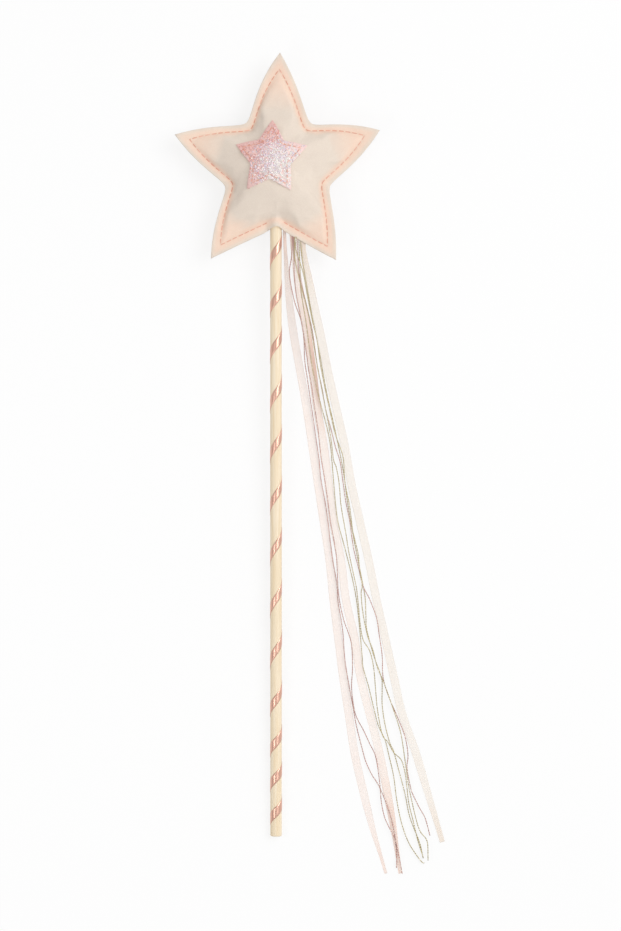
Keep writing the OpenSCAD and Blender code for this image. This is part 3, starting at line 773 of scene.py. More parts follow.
def felt_sheets(side, crown_points, faces):
    """Points of a panel's outer sheet, which goes over the stick, and of its inner sheet, a felt's thickness
    below. In the border the inner sheet lies on the other panel."""
    thick = FELT_T - ROW_DENT * np.exp(-(((BORDER_SHARES - ROW_SHARE) / ROW_SPREAD) ** 2))
    thick[-1] -= EDGE_ROUND
    waves = [ruffle(s) for s in BORDER_SHARES]
    rows = [
        np.column_stack([border_row(s), seam_z + side * t + wave])
        for s, t, wave in zip(BORDER_SHARES, thick, waves)
    ]
    crown = crown_points + [0, 0, seam_z + side * FELT_T]
    outer = np.vstack([crown, *rows])
    flat_z = outer[:, 2].copy()
    outer = over_stick(outer, side)
    outer[:, 2] = np.maximum(outer[:, 2], TABLE_GAP)
    normals = sheet_normals(outer, faces)
    normals *= np.sign(normals[:, 2].sum()) * side
    inner = outer - normals * FELT_T
    flat = len(sheet_xy)
    lifted = outer[flat:, 2] - flat_z[flat:]
    inner_z = seam_z + side * LAYER_GAP + np.concatenate(waves)
    inner[flat:] = np.column_stack([outer[flat:, :2], inner_z + lifted])
    inner[seam_ring] = np.column_stack([sheet_xy[seam_ring], outer[seam_ring, 2] - side * FELT_T])
    return outer, inner


# %% Two felt panels
# Reach of the painted corner shade, which takes peach out near the star's middle.
CORNER_SHADE_REACH = 22


def peach_share_with_painted_shade(outer, crown_points):
    """How peach the felt is: more where the crown is low and in the border. Less near the star's middle and
    at the cut edge, where a greyer cream is painted shade of the corners' folds and of the rim.
    """
    low = np.clip(1 - np.abs(crown_points[:, 2]) / FULL_CROWN, 0, 1)
    out = smooth_step((np.linalg.norm(outer[:, :2] - STAR_CENTRE, axis=1) - CORNER_SHADE_REACH) / CORNER_SHADE_REACH)
    border = np.concatenate([low, np.repeat(BORDER_PEACH_WITH_RIM_SHADE, len(seam_ring))])
    return border * (PEACH_IN_PAINTED_CORNER_SHADE + (1 - PEACH_IN_PAINTED_CORNER_SHADE) * out)


def crisp_edge(piece, ring, count):
    """Creases along the cut edge of both sheets, so that smoothing leaves the edge's points in place."""
    sheet = np.zeros(2 * count, int)
    sheet[ring], sheet[ring + count] = 1, 2
    ends = np.empty(2 * len(piece.data.edges), np.int32)
    piece.data.edges.foreach_get("vertices", ends)
    first, second = sheet[ends.reshape(-1, 2)].T
    set_values(piece, "crease_vert", sheet > 0)
    set_values(piece, "crease_edge", (first == second) & (first > 0), "EDGE")


def felt_panel(name, side, crown_points, replaced):
    """A closed felt shell on one side of the seam, 1 for the front and -1 for the back. Only the front's cut
    edge is seen, so only that one is kept crisp."""
    faces, edge_ring = panel_faces()
    outer, inner = felt_sheets(side, crown_points, faces)
    count = len(outer)
    points = np.vstack([outer, inner])
    shell = turned_outward(points, closed_shell(faces, faces[:, ::-1] + count, edge_ring, count))
    piece = new_piece(name, points * MM, shell, "wand", "felt", [replaced])
    smooth = piece.modifiers.new("smooth", "SUBSURF")
    smooth.levels = smooth.render_levels = 1
    if side > 0:
        crisp_edge(piece, edge_ring, count)
    # The border values are the peach share, with painted shade at the rim and in the corners.
    set_values(piece, "border", np.tile(peach_share_with_painted_shade(outer, crown_points), 2))
    print(name, len(shell), "faces")
    return piece, outer


front_felt, front_points = felt_panel("felt_front", 1, pillow_points[: len(sheet_xy)], "front_panel")
back_felt, back_points = felt_panel("felt_back", -1, pillow_points[back_number], "back_panel")

# %% [markdown]
# ## Sewing thread
# The seam is a row of straight stitches in coral thread, left open where the stick comes out. A stitch is a
# short arch of thread whose ends dive into the felt. All stitches of a row are one piece: one array holds
# every ring of every stitch.

# %% Rows of stitches
THREAD_D = 0.46
STITCH_LEN = 2.9
STITCH_GAP = 0.55
STITCH_RINGS = 9
STITCH_SIDES = 7
STITCH_RISE = 0.42
STITCH_DIVE = 0.75
STITCH_END = 0.97


def stitch_row(name, path, normals, pitch, gap, replaced, shown):
    """Stitches along a closed path. Along a stitch the height is a flat arch, a constant less the sixth power
    of the distance from its middle, and the radius falls off near the ends like a capsule's."""
    closed_path, closed_up = np.vstack([path, path[:1]]), np.vstack([normals, normals[:1]])
    total = lengths_along(closed_path)
    count = round(total[-1] / pitch)
    place = np.linspace(0, 1, STITCH_RINGS)
    stops = (np.arange(count)[:, None] + gap / pitch / 2 + place * (1 - gap / pitch)) * total[-1] / count
    at = np.stack([np.interp(stops, total, closed_path[:, k]) for k in range(3)], -1)
    up = np.stack([np.interp(stops, total, closed_up[:, k]) for k in range(3)], -1)
    keep = shown(at[:, STITCH_RINGS // 2])
    at, up = at[keep], up[keep]
    up /= np.linalg.norm(up, axis=-1, keepdims=True)
    way = np.gradient(at, axis=1)
    way /= np.linalg.norm(way, axis=-1, keepdims=True)
    side = np.cross(way, up)
    bow = 2 * place - 1
    lift = THREAD_D * (STITCH_RISE - STITCH_DIVE * bow**6)
    radius = THREAD_D / 2 * np.sqrt(1 - (STITCH_END * bow) ** 8)
    at = at + up * lift[None, :, None]
    angle = np.linspace(0, 2 * np.pi, STITCH_SIDES, endpoint=False)
    round_way = side[:, :, None] * np.cos(angle)[:, None] + up[:, :, None] * np.sin(angle)[:, None]
    rings = at[:, :, None] + round_way * radius[None, :, None, None]
    number = np.arange(rings[..., 0].size).reshape(rings.shape[:3])
    corner_rows, corner_cols = grid_corners(STITCH_RINGS, STITCH_SIDES, around=True)
    faces = number[:, corner_rows, corner_cols % STITCH_SIDES].reshape(-1, 4)
    points = rings.reshape(-1, 3)
    kept = turned_outward(points - points.mean(0), faces)
    turned = kept is not faces
    start, end = number[:, 0], number[:, -1]
    caps = np.vstack([start[:, ::-1], end]) if not turned else np.vstack([start, end[:, ::-1]])
    piece = new_piece(name, points * MM, kept, "wand", "sewing_thread", replaced, caps.tolist())
    uv = np.stack([corner_rows / STITCH_RINGS, corner_cols / STITCH_SIDES], -1)
    uv = np.tile(uv, (len(at), 1, 1))
    set_uv(piece, (uv[:, ::-1] if turned else uv).reshape(-1, 2))
    print(name, len(at), "stitches")
    return piece


print("stitches are", STITCH_LEN, "mm long and", STITCH_GAP, "mm apart")

# %% Seam of the star
OPENING_HALF = 4.6


def beside_stick(middles):
    """Stitches that are not in the opening for the stick."""
    return (np.abs(middles[:, 0]) > OPENING_HALF) | (middles[:, 1] > STAR_CENTRE[1])


row_number = int(np.argmin(np.abs(BORDER_SHARES - ROW_SHARE)))
row_start = len(sheet_xy) + row_number * len(seam_ring)
row_slice = slice(row_start, row_start + len(seam_ring))
up_normals = np.tile([0.0, 0.0, 1.0], (len(seam_ring), 1))
seam_front, seam_back = (
    stitch_row(
        f"seam_stitches_{name}", points[row_slice], side * up_normals, STITCH_LEN + STITCH_GAP, STITCH_GAP,
        [f"seam_thread_{name}"], beside_stick,
    )
    for name, points, side in (("front", front_points, 1), ("back", back_points, -1))
)

# %% [markdown]
# ## The glitter star
# A small star of glitter cloth is sewn on the front. It follows the crown, so the crown under it is described
# by a smooth polynomial fitted to the felt's points, which also gives the slope. The glitter is real flakes:
# thin six-sided chips, each tilted by chance, with its own colour. A bumpy material alone would not sparkle.

# %% Height of the crown under the glitter star
GLITTER_CENTRE = np.array([-2.6, 149.9])
GLITTER_TIPS = np.array([[-1.5, 169.3], [16.2, 155.8], [7.7, 133.0], [-14.6, 133.7], [-20.6, 156.4]])
GLITTER_CORNER_R = 10.9
FIT_POWERS = [(i, j) for i in range(7) for j in range(7 - i)]
FIT_REACH = 26.0


def fit_terms(xy):
    """Every product of powers of the place, in units of the fit's reach."""
    x, y = ((xy - GLITTER_CENTRE) / FIT_REACH).T
    return np.stack([x**i * y**j for i, j in FIT_POWERS], -1)


crown_xyz = front_points[: len(sheet_xy)]
under = np.linalg.norm(crown_xyz[:, :2] - GLITTER_CENTRE, axis=1) < FIT_REACH
crown_terms = np.linalg.lstsq(fit_terms(crown_xyz[under, :2]), crown_xyz[under, 2], rcond=None)[0]
misfit = fit_terms(crown_xyz[under, :2]) @ crown_terms - crown_xyz[under, 2]
print("crown fitted within", round(np.abs(misfit).max(), 2), "mm")


def crown_height(xy):
    """Height of the felt at places on the crown."""
    return fit_terms(xy) @ crown_terms


def crown_normal(xy):
    """Unit normals of the crown, from differences of its height over a tenth of a millimetre."""
    step = 0.1
    slope_x = (crown_height(xy + [step, 0]) - crown_height(xy - [step, 0])) / (2 * step)
    slope_y = (crown_height(xy + [0, step]) - crown_height(xy - [0, step])) / (2 * step)
    normal = np.column_stack([-slope_x, -slope_y, np.ones(len(xy))])
    return normal / np.linalg.norm(normal, axis=1, keepdims=True)


# %% Backing cloth of the glitter star
GLITTER_T = 0.7
GLITTER_GAP = 0.25
GLITTER_STEPS = 14
GLITTER_BULGES = np.full((5, 2), 0.02)
GLITTER_PULL = 0.05
GLITTER_BEVEL = 0.12
# The glitter's paleness is a painted reflection: pink upper left and at the rim, lilac and white lower right.
REFLECTION_REACH = 20
REFLECTION_MIDDLE, REFLECTION_RIGHT, REFLECTION_UP, REFLECTION_RIM = 0.74, 0.5, -0.4, -0.6
REFLECTION_LIMITS = (0.1, 0.95)
tip_angle = np.arctan2(*(GLITTER_TIPS - GLITTER_CENTRE).T)
corner_angle = tip_angle + np.angle(np.exp(1j * (np.roll(tip_angle, -1) - tip_angle))) / 2
corner_way = np.column_stack([np.sin(corner_angle), np.cos(corner_angle)])
glitter_corners = GLITTER_CENTRE + GLITTER_CORNER_R * corner_way


def glitter_kites(scale):
    """Kites of the small star, with almost straight edges."""
    return star_kites(
        GLITTER_CENTRE, GLITTER_TIPS, glitter_corners, GLITTER_BULGES, GLITTER_PULL, GLITTER_STEPS, scale
    )


def painted_reflection_share(xy):
    """Share of painted reflection on the glitter, which stays pink towards the upper left and the rim and
    turns lilac and white lower right.
    """
    x, y = ((xy - GLITTER_CENTRE) / REFLECTION_REACH).T
    return np.clip(REFLECTION_MIDDLE + REFLECTION_RIGHT * x + REFLECTION_UP * y + REFLECTION_RIM * (x * x + y * y), *REFLECTION_LIMITS)


def glitter_cloth():
    """A closed sheet that follows the crown: two copies of the star, joined along the cut edge."""
    xy, faces, ring = joined_kites(glitter_kites(1.0))
    normal = crown_normal(xy)
    felt = np.column_stack([xy, crown_height(xy)])
    low, high = felt + normal * GLITTER_GAP, felt + normal * (GLITTER_GAP + GLITTER_T)
    points = np.vstack([low, high])
    shell = turned_outward(points, closed_shell(faces + len(xy), faces[:, ::-1], ring, len(xy)))
    piece = new_piece("glitter_backing", points * MM, shell, "wand", "glitter_cloth", ["glitter_star"])
    bevel = piece.modifiers.new("eased", "BEVEL")
    bevel.width = GLITTER_BEVEL * MM
    bevel.limit_method = "ANGLE"
    bevel.angle_limit = 1.0
    # The paleness is a painted reflection, strongest lower right.
    set_values(piece, "painted_reflection", np.tile(painted_reflection_share(xy), 2))
    return piece


glitter_backing = glitter_cloth()
print("glitter cloth:", len(glitter_backing.data.polygons), "faces")

# %% Glitter flakes
FLAKE_COUNT = 2200
FLAKE_R = 0.58
FLAKE_SIZES = (0.6, 1.15)
FLAKE_T = 0.06
FLAKE_TILT = 0.34
FLAKE_LIFT = 0.16
FLAKE_REACH = 0.995
GLITTER_SEED = 7


def glitter_flakes():
    """Thin six-sided chips: a hexagon in a plane square to a tilted normal, at random places of the kites."""
    chance = np.random.default_rng(GLITTER_SEED)
    kites = glitter_kites(FLAKE_REACH)
    place = chance.random((FLAKE_COUNT, 2)) * GLITTER_STEPS
    cell = np.minimum(place.astype(int), GLITTER_STEPS - 1)
    inside = place - cell
    kite = chance.integers(0, len(kites), FLAKE_COUNT)
    a, b = kites[kite, cell[:, 0], cell[:, 1]], kites[kite, cell[:, 0] + 1, cell[:, 1]]
    c, d = kites[kite, cell[:, 0], cell[:, 1] + 1], kites[kite, cell[:, 0] + 1, cell[:, 1] + 1]
    u, v = inside[:, :1], inside[:, 1:]
    xy = quad_blend(u, v, a, b, c, d)
    normal = crown_normal(xy) + chance.normal(0, FLAKE_TILT, (FLAKE_COUNT, 3))
    normal /= np.linalg.norm(normal, axis=1, keepdims=True)
    over = GLITTER_GAP + GLITTER_T + chance.uniform(0.0, FLAKE_LIFT, FLAKE_COUNT)
    middle = np.column_stack([xy, crown_height(xy) + over])
    side = np.cross(normal, chance.normal(0, 1, (FLAKE_COUNT, 3)))
    side /= np.linalg.norm(side, axis=1, keepdims=True)
    other = np.cross(normal, side)
    radius = FLAKE_R * chance.uniform(*FLAKE_SIZES, (FLAKE_COUNT, 1, 1))
    angle = np.arange(6) * np.pi / 3
    rim = radius * (side[:, None] * np.cos(angle)[:, None] + other[:, None] * np.sin(angle)[:, None])
    lift = normal[:, None] * FLAKE_T / 2
    points = np.concatenate([middle[:, None] + rim - lift, middle[:, None] + rim + lift], 1)
    number = np.arange(FLAKE_COUNT * 12).reshape(-1, 12)
    k = np.arange(6)
    sides = np.stack([number[:, k], number[:, (k + 1) % 6], number[:, 6 + (k + 1) % 6], number[:, 6 + k]], -1)
    sides = sides.reshape(-1, 4)
    caps = np.vstack([number[:, 5::-1], number[:, 6:]]).tolist()
    piece = new_piece("glitter_flakes", points * MM, sides, "wand", "glitter_cloth", (), caps)
    return piece, xy, chance


flakes, flake_xy, flake_chance = glitter_flakes()
print("glitter flakes:", FLAKE_COUNT)

# %% Colours of the flakes
FLAKE_MOTTLE = 0.24
FLAKE_PALETTE = [
    (238, 168, 158), (242, 186, 178), (246, 202, 196), (244, 214, 216), (238, 220, 236), (252, 240, 236),
    (255, 250, 244),
]


def flake_colours(piece, xy, chance):
    """A palette pick for each flake: the share of painted reflection at its place, and a little chance."""
    palette = np.array([tone(*c)[:3] for c in FLAKE_PALETTE])
    # Flakes are picked paler where the painted reflection falls, lower right.
    chosen = painted_reflection_share(xy) + chance.normal(0, FLAKE_MOTTLE, len(xy))
    pick = np.clip(chosen * len(palette), 0, len(palette) - 1).astype(int)
    colours = np.repeat(np.column_stack([palette[pick], np.ones(len(xy))]), 12, axis=0)
    attribute = piece.data.attributes.new("flake_colour", "FLOAT_COLOR", "POINT")
    attribute.data.foreach_set("color", colours.astype(np.float32).ravel())


flake_colours(flakes, flake_xy, flake_chance)
print("flakes in", len(FLAKE_PALETTE), "colours")

# %% Stitches of the glitter star
GLITTER_ROW = 0.82
GLITTER_PITCH = 2.7
GLITTER_THREAD_UP = 0.1
glitter_row_xy, _, glitter_ring = joined_kites(glitter_kites(GLITTER_ROW))
row_xy = glitter_row_xy[glitter_ring]
row_z = crown_height(row_xy) + GLITTER_GAP + GLITTER_T + GLITTER_THREAD_UP
glitter_stitches = stitch_row(
    "glitter_stitches", np.column_stack([row_xy, row_z]), crown_normal(row_xy), GLITTER_PITCH, STITCH_GAP,
    ["glitter_thread"], lambda middles: np.ones(len(middles), bool),
)

# %% [markdown]
# ## Stick and foil
# The stick is a round softwood dowel with eased ends: a profile turned about its axis. The foil is one narrow
# strip wound on by hand, so its steps differ a little. It is a strip profile carried along a helix, and the
# height of each turn is read between the places where the band crosses the front.

# %% Dowel
STICK_DEPTH = 44.0
STICK_ROUND = 0.8
EASE_STEPS = 6
TURN_STEPS = 56
WALL_STEPS = 120
END_RINGS = np.array([0.02, 0.8, 1.6])
WOBBLE = 0.02
WOBBLE_LENGTH = 31
stick_way = np.array([0, -np.sqrt(1 - stick_slope**2), -stick_slope])
stick_up = np.array([0, -stick_slope, np.sqrt(1 - stick_slope**2)])
stick_side = np.array([1.0, 0, 0])
entry = np.array([0, stick_low.y / MM + STICK_R * stick_slope - STICK_SHOWN * stick_way[1], seam_z])


def round_stick(radius, along, turn):
    """Points at distances from the stick's axis, along it from the star, and at angles from the top."""
    out = stick_up * np.cos(turn)[..., None] + stick_side * np.sin(turn)[..., None]
    return entry + out * radius[..., None] + stick_way * along[..., None]


def dowel():
    """A profile turned about the axis: a flat end, a quarter circle, the long wall, and the same at the far
    end."""
    arc = np.linspace(0, np.pi / 2, EASE_STEPS)
    ease_r = STICK_R - STICK_ROUND + STICK_ROUND * np.sin(arc)
    ease_z = STICK_ROUND - STICK_ROUND * np.cos(arc)
    wall = np.linspace(STICK_ROUND - STICK_DEPTH, STICK_SHOWN - STICK_ROUND, WALL_STEPS)[1:-1]
    radius = np.concatenate([END_RINGS, ease_r, np.full(len(wall), STICK_R), ease_r[::-1], END_RINGS[::-1]])
    start, end = np.full(len(END_RINGS), -STICK_DEPTH), np.full(len(END_RINGS), STICK_SHOWN)
    along = np.concatenate([start, ease_z - STICK_DEPTH, wall, STICK_SHOWN - ease_z[::-1], end])
    turn = np.linspace(0, 2 * np.pi, TURN_STEPS, endpoint=False)
    on_wall = radius > STICK_R - 0.1
    wobble = WOBBLE * np.sin(along / WOBBLE_LENGTH)[:, None] * np.cos(2 * turn) * on_wall[:, None]
    rings = round_stick(radius[:, None] + wobble, along[:, None] + 0 * turn, 0 * radius[:, None] + turn)
    return tube_piece("dowel", rings, along, body="wand", slot="wood", replaced=["stick"])


stick_piece = dowel()
print("stick end at", np.round(entry + stick_way * STICK_SHOWN, 2))

# %% Wound foil
FOIL_W = 6.0
FOIL_T = 0.12
FOIL_LIFT = 0.02
FOIL_FIRST_TURN, FOIL_LAST_TURN = -0.3, 0.22
FOIL_FIRST_RISE, FOIL_LAST_RISE = 25.0, 18.0
FOIL_UV = 20
FOIL_EDGE = np.array([-1, -0.985, -0.6, -0.2, 0.2, 0.6, 0.985, 1])
FOIL_ROUND = np.array([0.35, 0.95, 1, 1, 1, 1, 0.95, 0.35])
FOIL_MARKS = [11.2, 36.3, 60.0, 85.5, 112.0, 138.6, 165.2, 192.6, 219.5, 245.5, 267.5, 286.0, 304.0]


def wound_foil():
    """A thin strip wound on the stick: the angle turns steadily and the height is read between the marks."""
    last = len(FOIL_MARKS) - 1
    count = round((last + FOIL_LAST_TURN - FOIL_FIRST_TURN) * TURN_STEPS)
    turns = np.linspace(FOIL_FIRST_TURN, last + FOIL_LAST_TURN, count)
    marks = np.interp(turns, np.arange(last + 1), FOIL_MARKS)
    marks += np.minimum(turns, 0) * FOIL_FIRST_RISE + np.maximum(turns - last, 0) * FOIL_LAST_RISE
    radius = STICK_R + FOIL_LIFT + np.concatenate([FOIL_T * FOIL_ROUND, np.zeros(len(FOIL_ROUND))])
    spread = np.concatenate([FOIL_EDGE, FOIL_EDGE[::-1]]) * FOIL_W / 2
    rings = round_stick(
        radius + 0 * turns[:, None], marks[:, None] + spread, -2 * np.pi * turns[:, None] + 0 * radius
    )
    return tube_piece("foil_band", rings, turns * FOIL_UV, body="wand", slot="foil", replaced=["foil_spiral"])


foil_band = wound_foil()
print("foil crosses the front", len(FOIL_MARKS), "times")


# %% [markdown]
# ## What is inside
# Fibre fill swells the star, and a collar of glue and the caught ends of the streamers hold the rest. Hardly
# any of it shows, but each has its place: the fill is a rough copy of the pillow, and the others keep their
# solids.

# %% Fibre fill
FILL_SHARE = 0.955
FILL_ROUGH = 0.2
FILL_WAVES = np.array([2.3, 2.9])
FILL_GAP = 0.1


def fibre_fill():
    """The pillow drawn in by a felt's thickness, roughened by sines of its own coordinates."""
    points = pillow_points.copy()
    points[:, :2] = STAR_CENTRE + FILL_SHARE * (points[:, :2] - STAR_CENTRE)
    rough = FILL_ROUGH * np.prod(np.sin(points[:, :2] * FILL_WAVES), axis=1, keepdims=True)
    points = points * [1, 1, FILL_SHARE**2] + rough * [0, 0, 1]
    points[:, 2] = np.maximum(points[:, 2] + seam_z, FELT_T + FILL_GAP)
    piece = new_piece("fibre_fill", points * MM, pillow_faces, "wand", "fill", ["stuffing"])
    return piece


fill_piece = fibre_fill()
print("fibre fill:", len(fill_piece.data.polygons), "faces")

# %% [markdown]
# ## Finishes of the wand
# Felt is matted fibre: no weave, a soft mottle, a fuzzy relief with painted highlights on loose fibres, and
# here a peach tone where the border is flat, which fades to cream as painted shade at the cut edge and the
# corners.
# Organza is a net of fine threads, so most of it is holes. Metallic yarn, foil and flakes are metal, and
# their gloss comes from the light, with painted glints on the yarn and a painted reflection on the glitter,
# which is paler lower right. Wood has long pale grain. Each finish below is one small network.

# %% Felt and fibre
def felt_finish():
    finish = Finish(
        "cream_felt", Roughness=0.92, Sheen_Weight=0.25, Sheen_Roughness=0.5, Specular_IOR_Level=0.2
    )
    place = finish.place()
    blotch = finish.noise(place, 90, 4)
    fibre = finish.noise(place, 1500, 5, 1.6)
    hair = finish.noise(finish.stretched(place, (1, 3.5, 1), (0, 0, 0.7)), 900, 3, 2.5)
    # The border share carries painted shade: less peach, so a greyer cream, at the rim and in the corners.
    border = finish.steps(finish.read("border") + 0.12 * blotch, 0.72, 1.02)
    cream = finish.mix(blotch, tone(226, 211, 197), tone(240, 226, 211))
    peach = finish.mix(blotch, tone(246, 209, 186), tone(250, 225, 205))
    base = finish.mix(border * 0.9, cream, peach)
    # Painted highlights: a pale speckle where loose fibres would catch the light.
    felt_with_painted_highlights = finish.mix(finish.steps(fibre, 0.35, 0.75) * 0.26, base, tone(250, 240, 228))
    finish.link("Base Color", finish.mix(finish.steps(hair, 0.54, 0.7) * 0.16, felt_with_painted_highlights, tone(206, 184, 166)))
    finish.bump(fibre + 0.7 * hair, 0.65, 0.0004)
    return finish


def fill_finish():
    finish = Finish("fibre_fill_white", Roughness=0.95)
    strand = finish.noise(finish.place(), 700, 6, 3.0)
    finish.link("Base Color", finish.mix(strand, tone(236, 232, 224), tone(252, 250, 246)))
    finish.bump(strand, 0.6, 0.0005)
    return finish


felt_finish().on(front_felt, back_felt)
fill_finish().on(fill_piece)


# %% Sewing thread
def thread_finish():
    finish = Finish("coral_thread", Roughness=0.6, Sheen_Weight=0.2)
    along = finish.place("UV")
    sockets = {"Vector": along, "Scale": 2.6, "Distortion": 0.4}
    ply = finish.node("ShaderNodeTexWave", {"bands_direction": "DIAGONAL"}, sockets, "Fac")
    uneven = finish.noise(finish.place(), 160, 2)
    base = finish.mix(finish.steps(uneven, 0.35, 0.7), tone(222, 150, 120), tone(240, 188, 166))
    finish.link("Base Color", finish.mix(ply * 0.35, base, tone(248, 204, 186)))
    finish.bump(ply, 0.5, 0.0001)
    return finish


thread_finish().on(seam_front, seam_back, glitter_stitches)


# %% Glitter
def backing_finish():
    finish = Finish("glitter_cloth_pink", Roughness=0.55, Specular_IOR_Level=0.6)
    grain = finish.noise(finish.place(), 1400, 3)
    pink = finish.mix(grain, tone(226, 170, 162), tone(240, 200, 194))
    # Painted reflection: the pink cloth turns pale lower right.
    finish.link("Base Color", finish.mix(finish.read("painted_reflection") * 0.8, pink, tone(246, 228, 224)))
    finish.bump(grain, 0.6, 0.0003)
    return finish


def flake_finish():
    finish = Finish("glitter_flake", Metallic=0.2, Roughness=0.25, Coat_Weight=0.7, Coat_Roughness=0.06)
    colour = finish.read("flake_colour", "Color")
    shimmer = finish.noise(finish.place(), 420, 2)
    bright = finish.steps(shimmer, 0.45, 0.75) * 0.5
    finish.link("Base Color", finish.mix(bright, colour, tone(250, 240, 244)))
    return finish


backing_finish().on(glitter_backing)
flake_finish().on(flakes)


# %% Sheer ribbon
def organza_finish(name, light, deep):
    finish = Finish(name, Roughness=0.5, Sheen_Weight=0.3, Specular_IOR_Level=0.4)
    share = finish.read("across")
    dense = finish.read("dense")
    along = finish.place("UV")
    sockets = {"Vector": along, "Scale": 1.0, "Distortion": 0.6, "Detail": 1.0}
    weft = finish.node("ShaderNodeTexWave", None, sockets, "Fac")
    slub = finish.noise(finish.stretched(along, (0.08, 1, 1)), 1.0, 2)
    selvedge = finish.steps(share * share, 0.72, 0.9)
    cover = 0.12 + 0.1 * weft + 0.08 * slub + 0.1 * selvedge + 0.4 * dense
    finish.link("Alpha", cover)
    finish.link("Base Color", finish.mix(slub * 0.5 + selvedge * 0.2 + dense * 0.6, light, deep))
    return finish


organza_finish("organza_pink", tone(250, 230, 216), tone(240, 202, 184)).on(left_ribbon)
organza_finish("organza_peach", tone(254, 240, 226), tone(242, 186, 156)).on(middle_ribbon)
organza_finish("organza_cream", tone(243, 231, 213), tone(234, 207, 182)).on(right_ribbon)


# %% Metallic yarn and foil
def yarn_finish(name, dark, light):
    finish = Finish(name, Metallic=0.75, Roughness=0.32)
    along = finish.place("UV")
    glint = finish.steps(finish.noise(finish.stretched(along, (1.3, 0.4, 1)), 1.0, 1), 0.5, 0.62)
    free = finish.steps(finish.node("ShaderNodeSeparateXYZ", None, {0: along}, 0), 10, 60)
    patch = finish.noise(finish.place(), 60, 2)
    base = finish.mix(patch, dark, light)
    finish.link("Base Color", finish.mix(glint * free * 0.5, base, tone(242, 236, 222)))
    return finish


def foil_finish():
    finish = Finish("rose_gold_foil", Metallic=1.0)
    place = finish.place()
    crinkle = finish.noise(place, 240, 4, 0.6)
    tint = finish.noise(place, 45, 2)
    finish.link("Base Color", finish.mix(tint, tone(222, 174, 154), tone(236, 192, 172)))
    finish.link("Roughness", 0.27 + 0.14 * crinkle)
    finish.bump(crinkle, 0.2, 0.0002)
    return finish


yarn_finish("rose_metal_yarn", tone(168, 124, 118), tone(200, 160, 150)).on(*rose_threads)
yarn_finish("olive_gold_yarn", tone(160, 146, 104), tone(200, 187, 146)).on(*gold_threads)
foil_finish().on(foil_band)


# %% Wood and glue
def wood_finish():
    finish = Finish("pale_dowel", Roughness=0.6, Specular_IOR_Level=0.3)
    place = finish.place()
    lean = (np.arctan(-stick_slope), 0, 0)
    grain = finish.noise(finish.stretched(place, (1, 0.03, 1), lean), 900, 4, 0.3)
    pore = finish.noise(finish.stretched(place, (1, 0.06, 1), lean), 2600, 2)
    cloud = finish.noise(finish.stretched(place, (1, 0.2, 1), lean), 60, 2)
    base = finish.mix(finish.steps(grain, 0.3, 0.72), tone(244, 229, 205), tone(234, 212, 178))
    base = finish.mix(cloud * 0.4, base, tone(238, 222, 192))
    finish.link("Base Color", finish.mix(finish.steps(pore, 0.66, 0.78) * 0.35, base, tone(206, 178, 138)))
    finish.bump(grain + 0.5 * pore, 0.25, 0.0002)
    return finish


def glue_finish():
    finish = Finish("set_glue", Roughness=0.35)
    lump = finish.noise(finish.place(), 200, 2)
    finish.link("Base Color", finish.mix(lump, tone(236, 228, 208), tone(246, 240, 226)))
    finish.bump(lump, 0.4, 0.0004)
    return finish


def caught_finish():
    finish = Finish("caught_ends", Roughness=0.6)
    weave = finish.noise(finish.place(), 900, 2)
    finish.link("Base Color", finish.mix(weave, tone(240, 214, 196), tone(250, 232, 220)))
    finish.bump(weave, 0.3, 0.0001)
    return finish


wood_finish().on(stick_piece)
glue_finish().on(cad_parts["glue_collar"])
caught_finish().on(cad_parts["streamer_ends"])

# %% [markdown]
# ## Table and light
# The table is plain white and fills the picture. Its colour comes partly from itself, for the camera and for
# reflections, so that it is white without strong lamps, and partly from the light, so that it keeps a soft
# shadow. A large soft lamp on the right, a small weak one on the left and a pale room light the wand.

# %% White table
TABLE_REACH = 6.0
TABLE_GLOW = 0.8


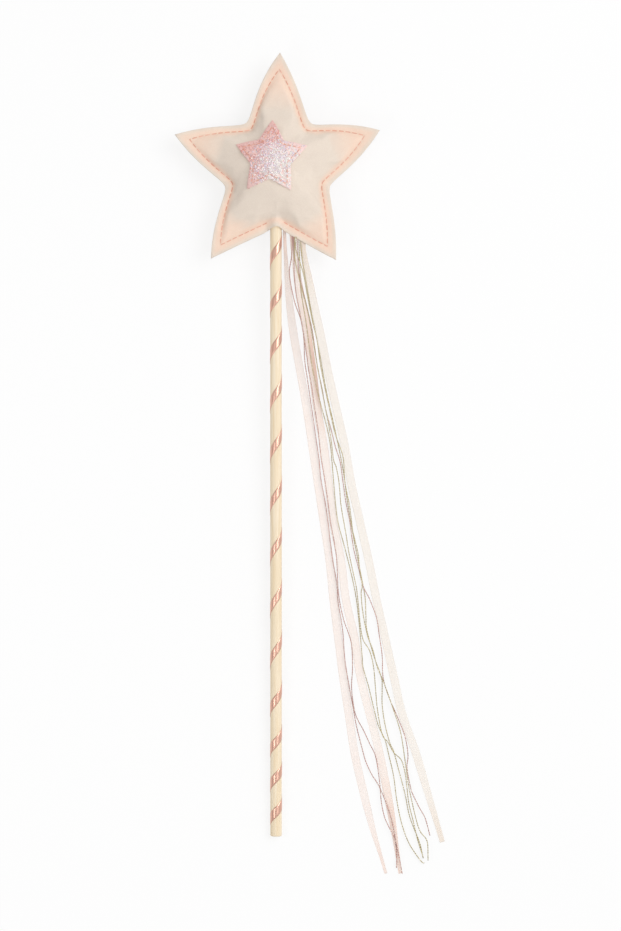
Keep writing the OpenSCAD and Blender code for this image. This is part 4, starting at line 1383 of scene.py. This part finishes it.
def white_floor():
    """A wide square under the wand, which glows for the rays that show it."""
    corners = [(x * TABLE_REACH, y * TABLE_REACH, 0) for x, y in ((-1, -1), (1, -1), (1, 1), (-1, 1))]
    mesh = bpy.data.meshes.new("table")
    mesh.from_pydata(corners, [], [(0, 1, 2, 3)])
    table = bpy.data.objects.new("table", mesh)
    scene.collection.objects.link(table)
    finish = Finish("white_table", Roughness=0.9, Specular_IOR_Level=0.0, Base_Color=(0.9, 0.9, 0.9, 1))
    seen = finish.node("ShaderNodeLightPath", None, None, "Is Camera Ray")
    for ray in ("Is Glossy Ray", "Is Transmission Ray"):
        seen = seen.with_other("MAXIMUM", finish.node("ShaderNodeLightPath", None, None, ray))
    white = finish.node("ShaderNodeEmission", None, {"Color": (1, 1, 1, 1), "Strength": 1.0})
    lit = Value(finish, finish.shader.outputs[0])
    both = finish.node("ShaderNodeMixShader", None, {0: seen * TABLE_GLOW, 1: lit, 2: white})
    finish.tree.links.new(both.socket, finish.tree.nodes["Material Output"].inputs["Surface"])
    finish.on(table)


white_floor()
print("table reaches", TABLE_REACH, "m each way")


# %% Lamps and room
def soft_lamp(name, place, size, watts):
    """A square lamp that looks at the middle of the wand."""
    data = bpy.data.lights.new(name, "AREA")
    data.size = size
    data.energy = watts
    lamp = bpy.data.objects.new(name, data)
    lamp.location = place
    lamp.rotation_euler = (-Vector(place)).to_track_quat("-Z", "Y").to_euler()
    scene.collection.objects.link(lamp)


def pale_room(dark, bright):
    """A room that is brighter on the right than on the left, as a soft ramp of the direction."""
    world = bpy.data.worlds.new("room")
    scene.world = world
    world.use_nodes = True
    nodes, links = world.node_tree.nodes, world.node_tree.links
    place = nodes.new("ShaderNodeTexCoord")
    parts = nodes.new("ShaderNodeSeparateXYZ")
    ramp = nodes.new("ShaderNodeMapRange")
    ramp.inputs["From Min"].default_value = -1
    ramp.inputs["To Min"].default_value = dark
    ramp.inputs["To Max"].default_value = bright
    links.new(place.outputs["Generated"], parts.inputs[0])
    links.new(parts.outputs["X"], ramp.inputs["Value"])
    links.new(ramp.outputs["Result"], nodes["Background"].inputs["Strength"])
    nodes["Background"].inputs["Color"].default_value = (1, 1, 1, 1)


soft_lamp("window", (0.9, 0.4, 1.45), 1.1, 13)
soft_lamp("left", (-0.42, -0.2, 0.65), 0.25, 0.7)
pale_room(0.56, 0.76)
print("lamps:", len(bpy.data.lights))
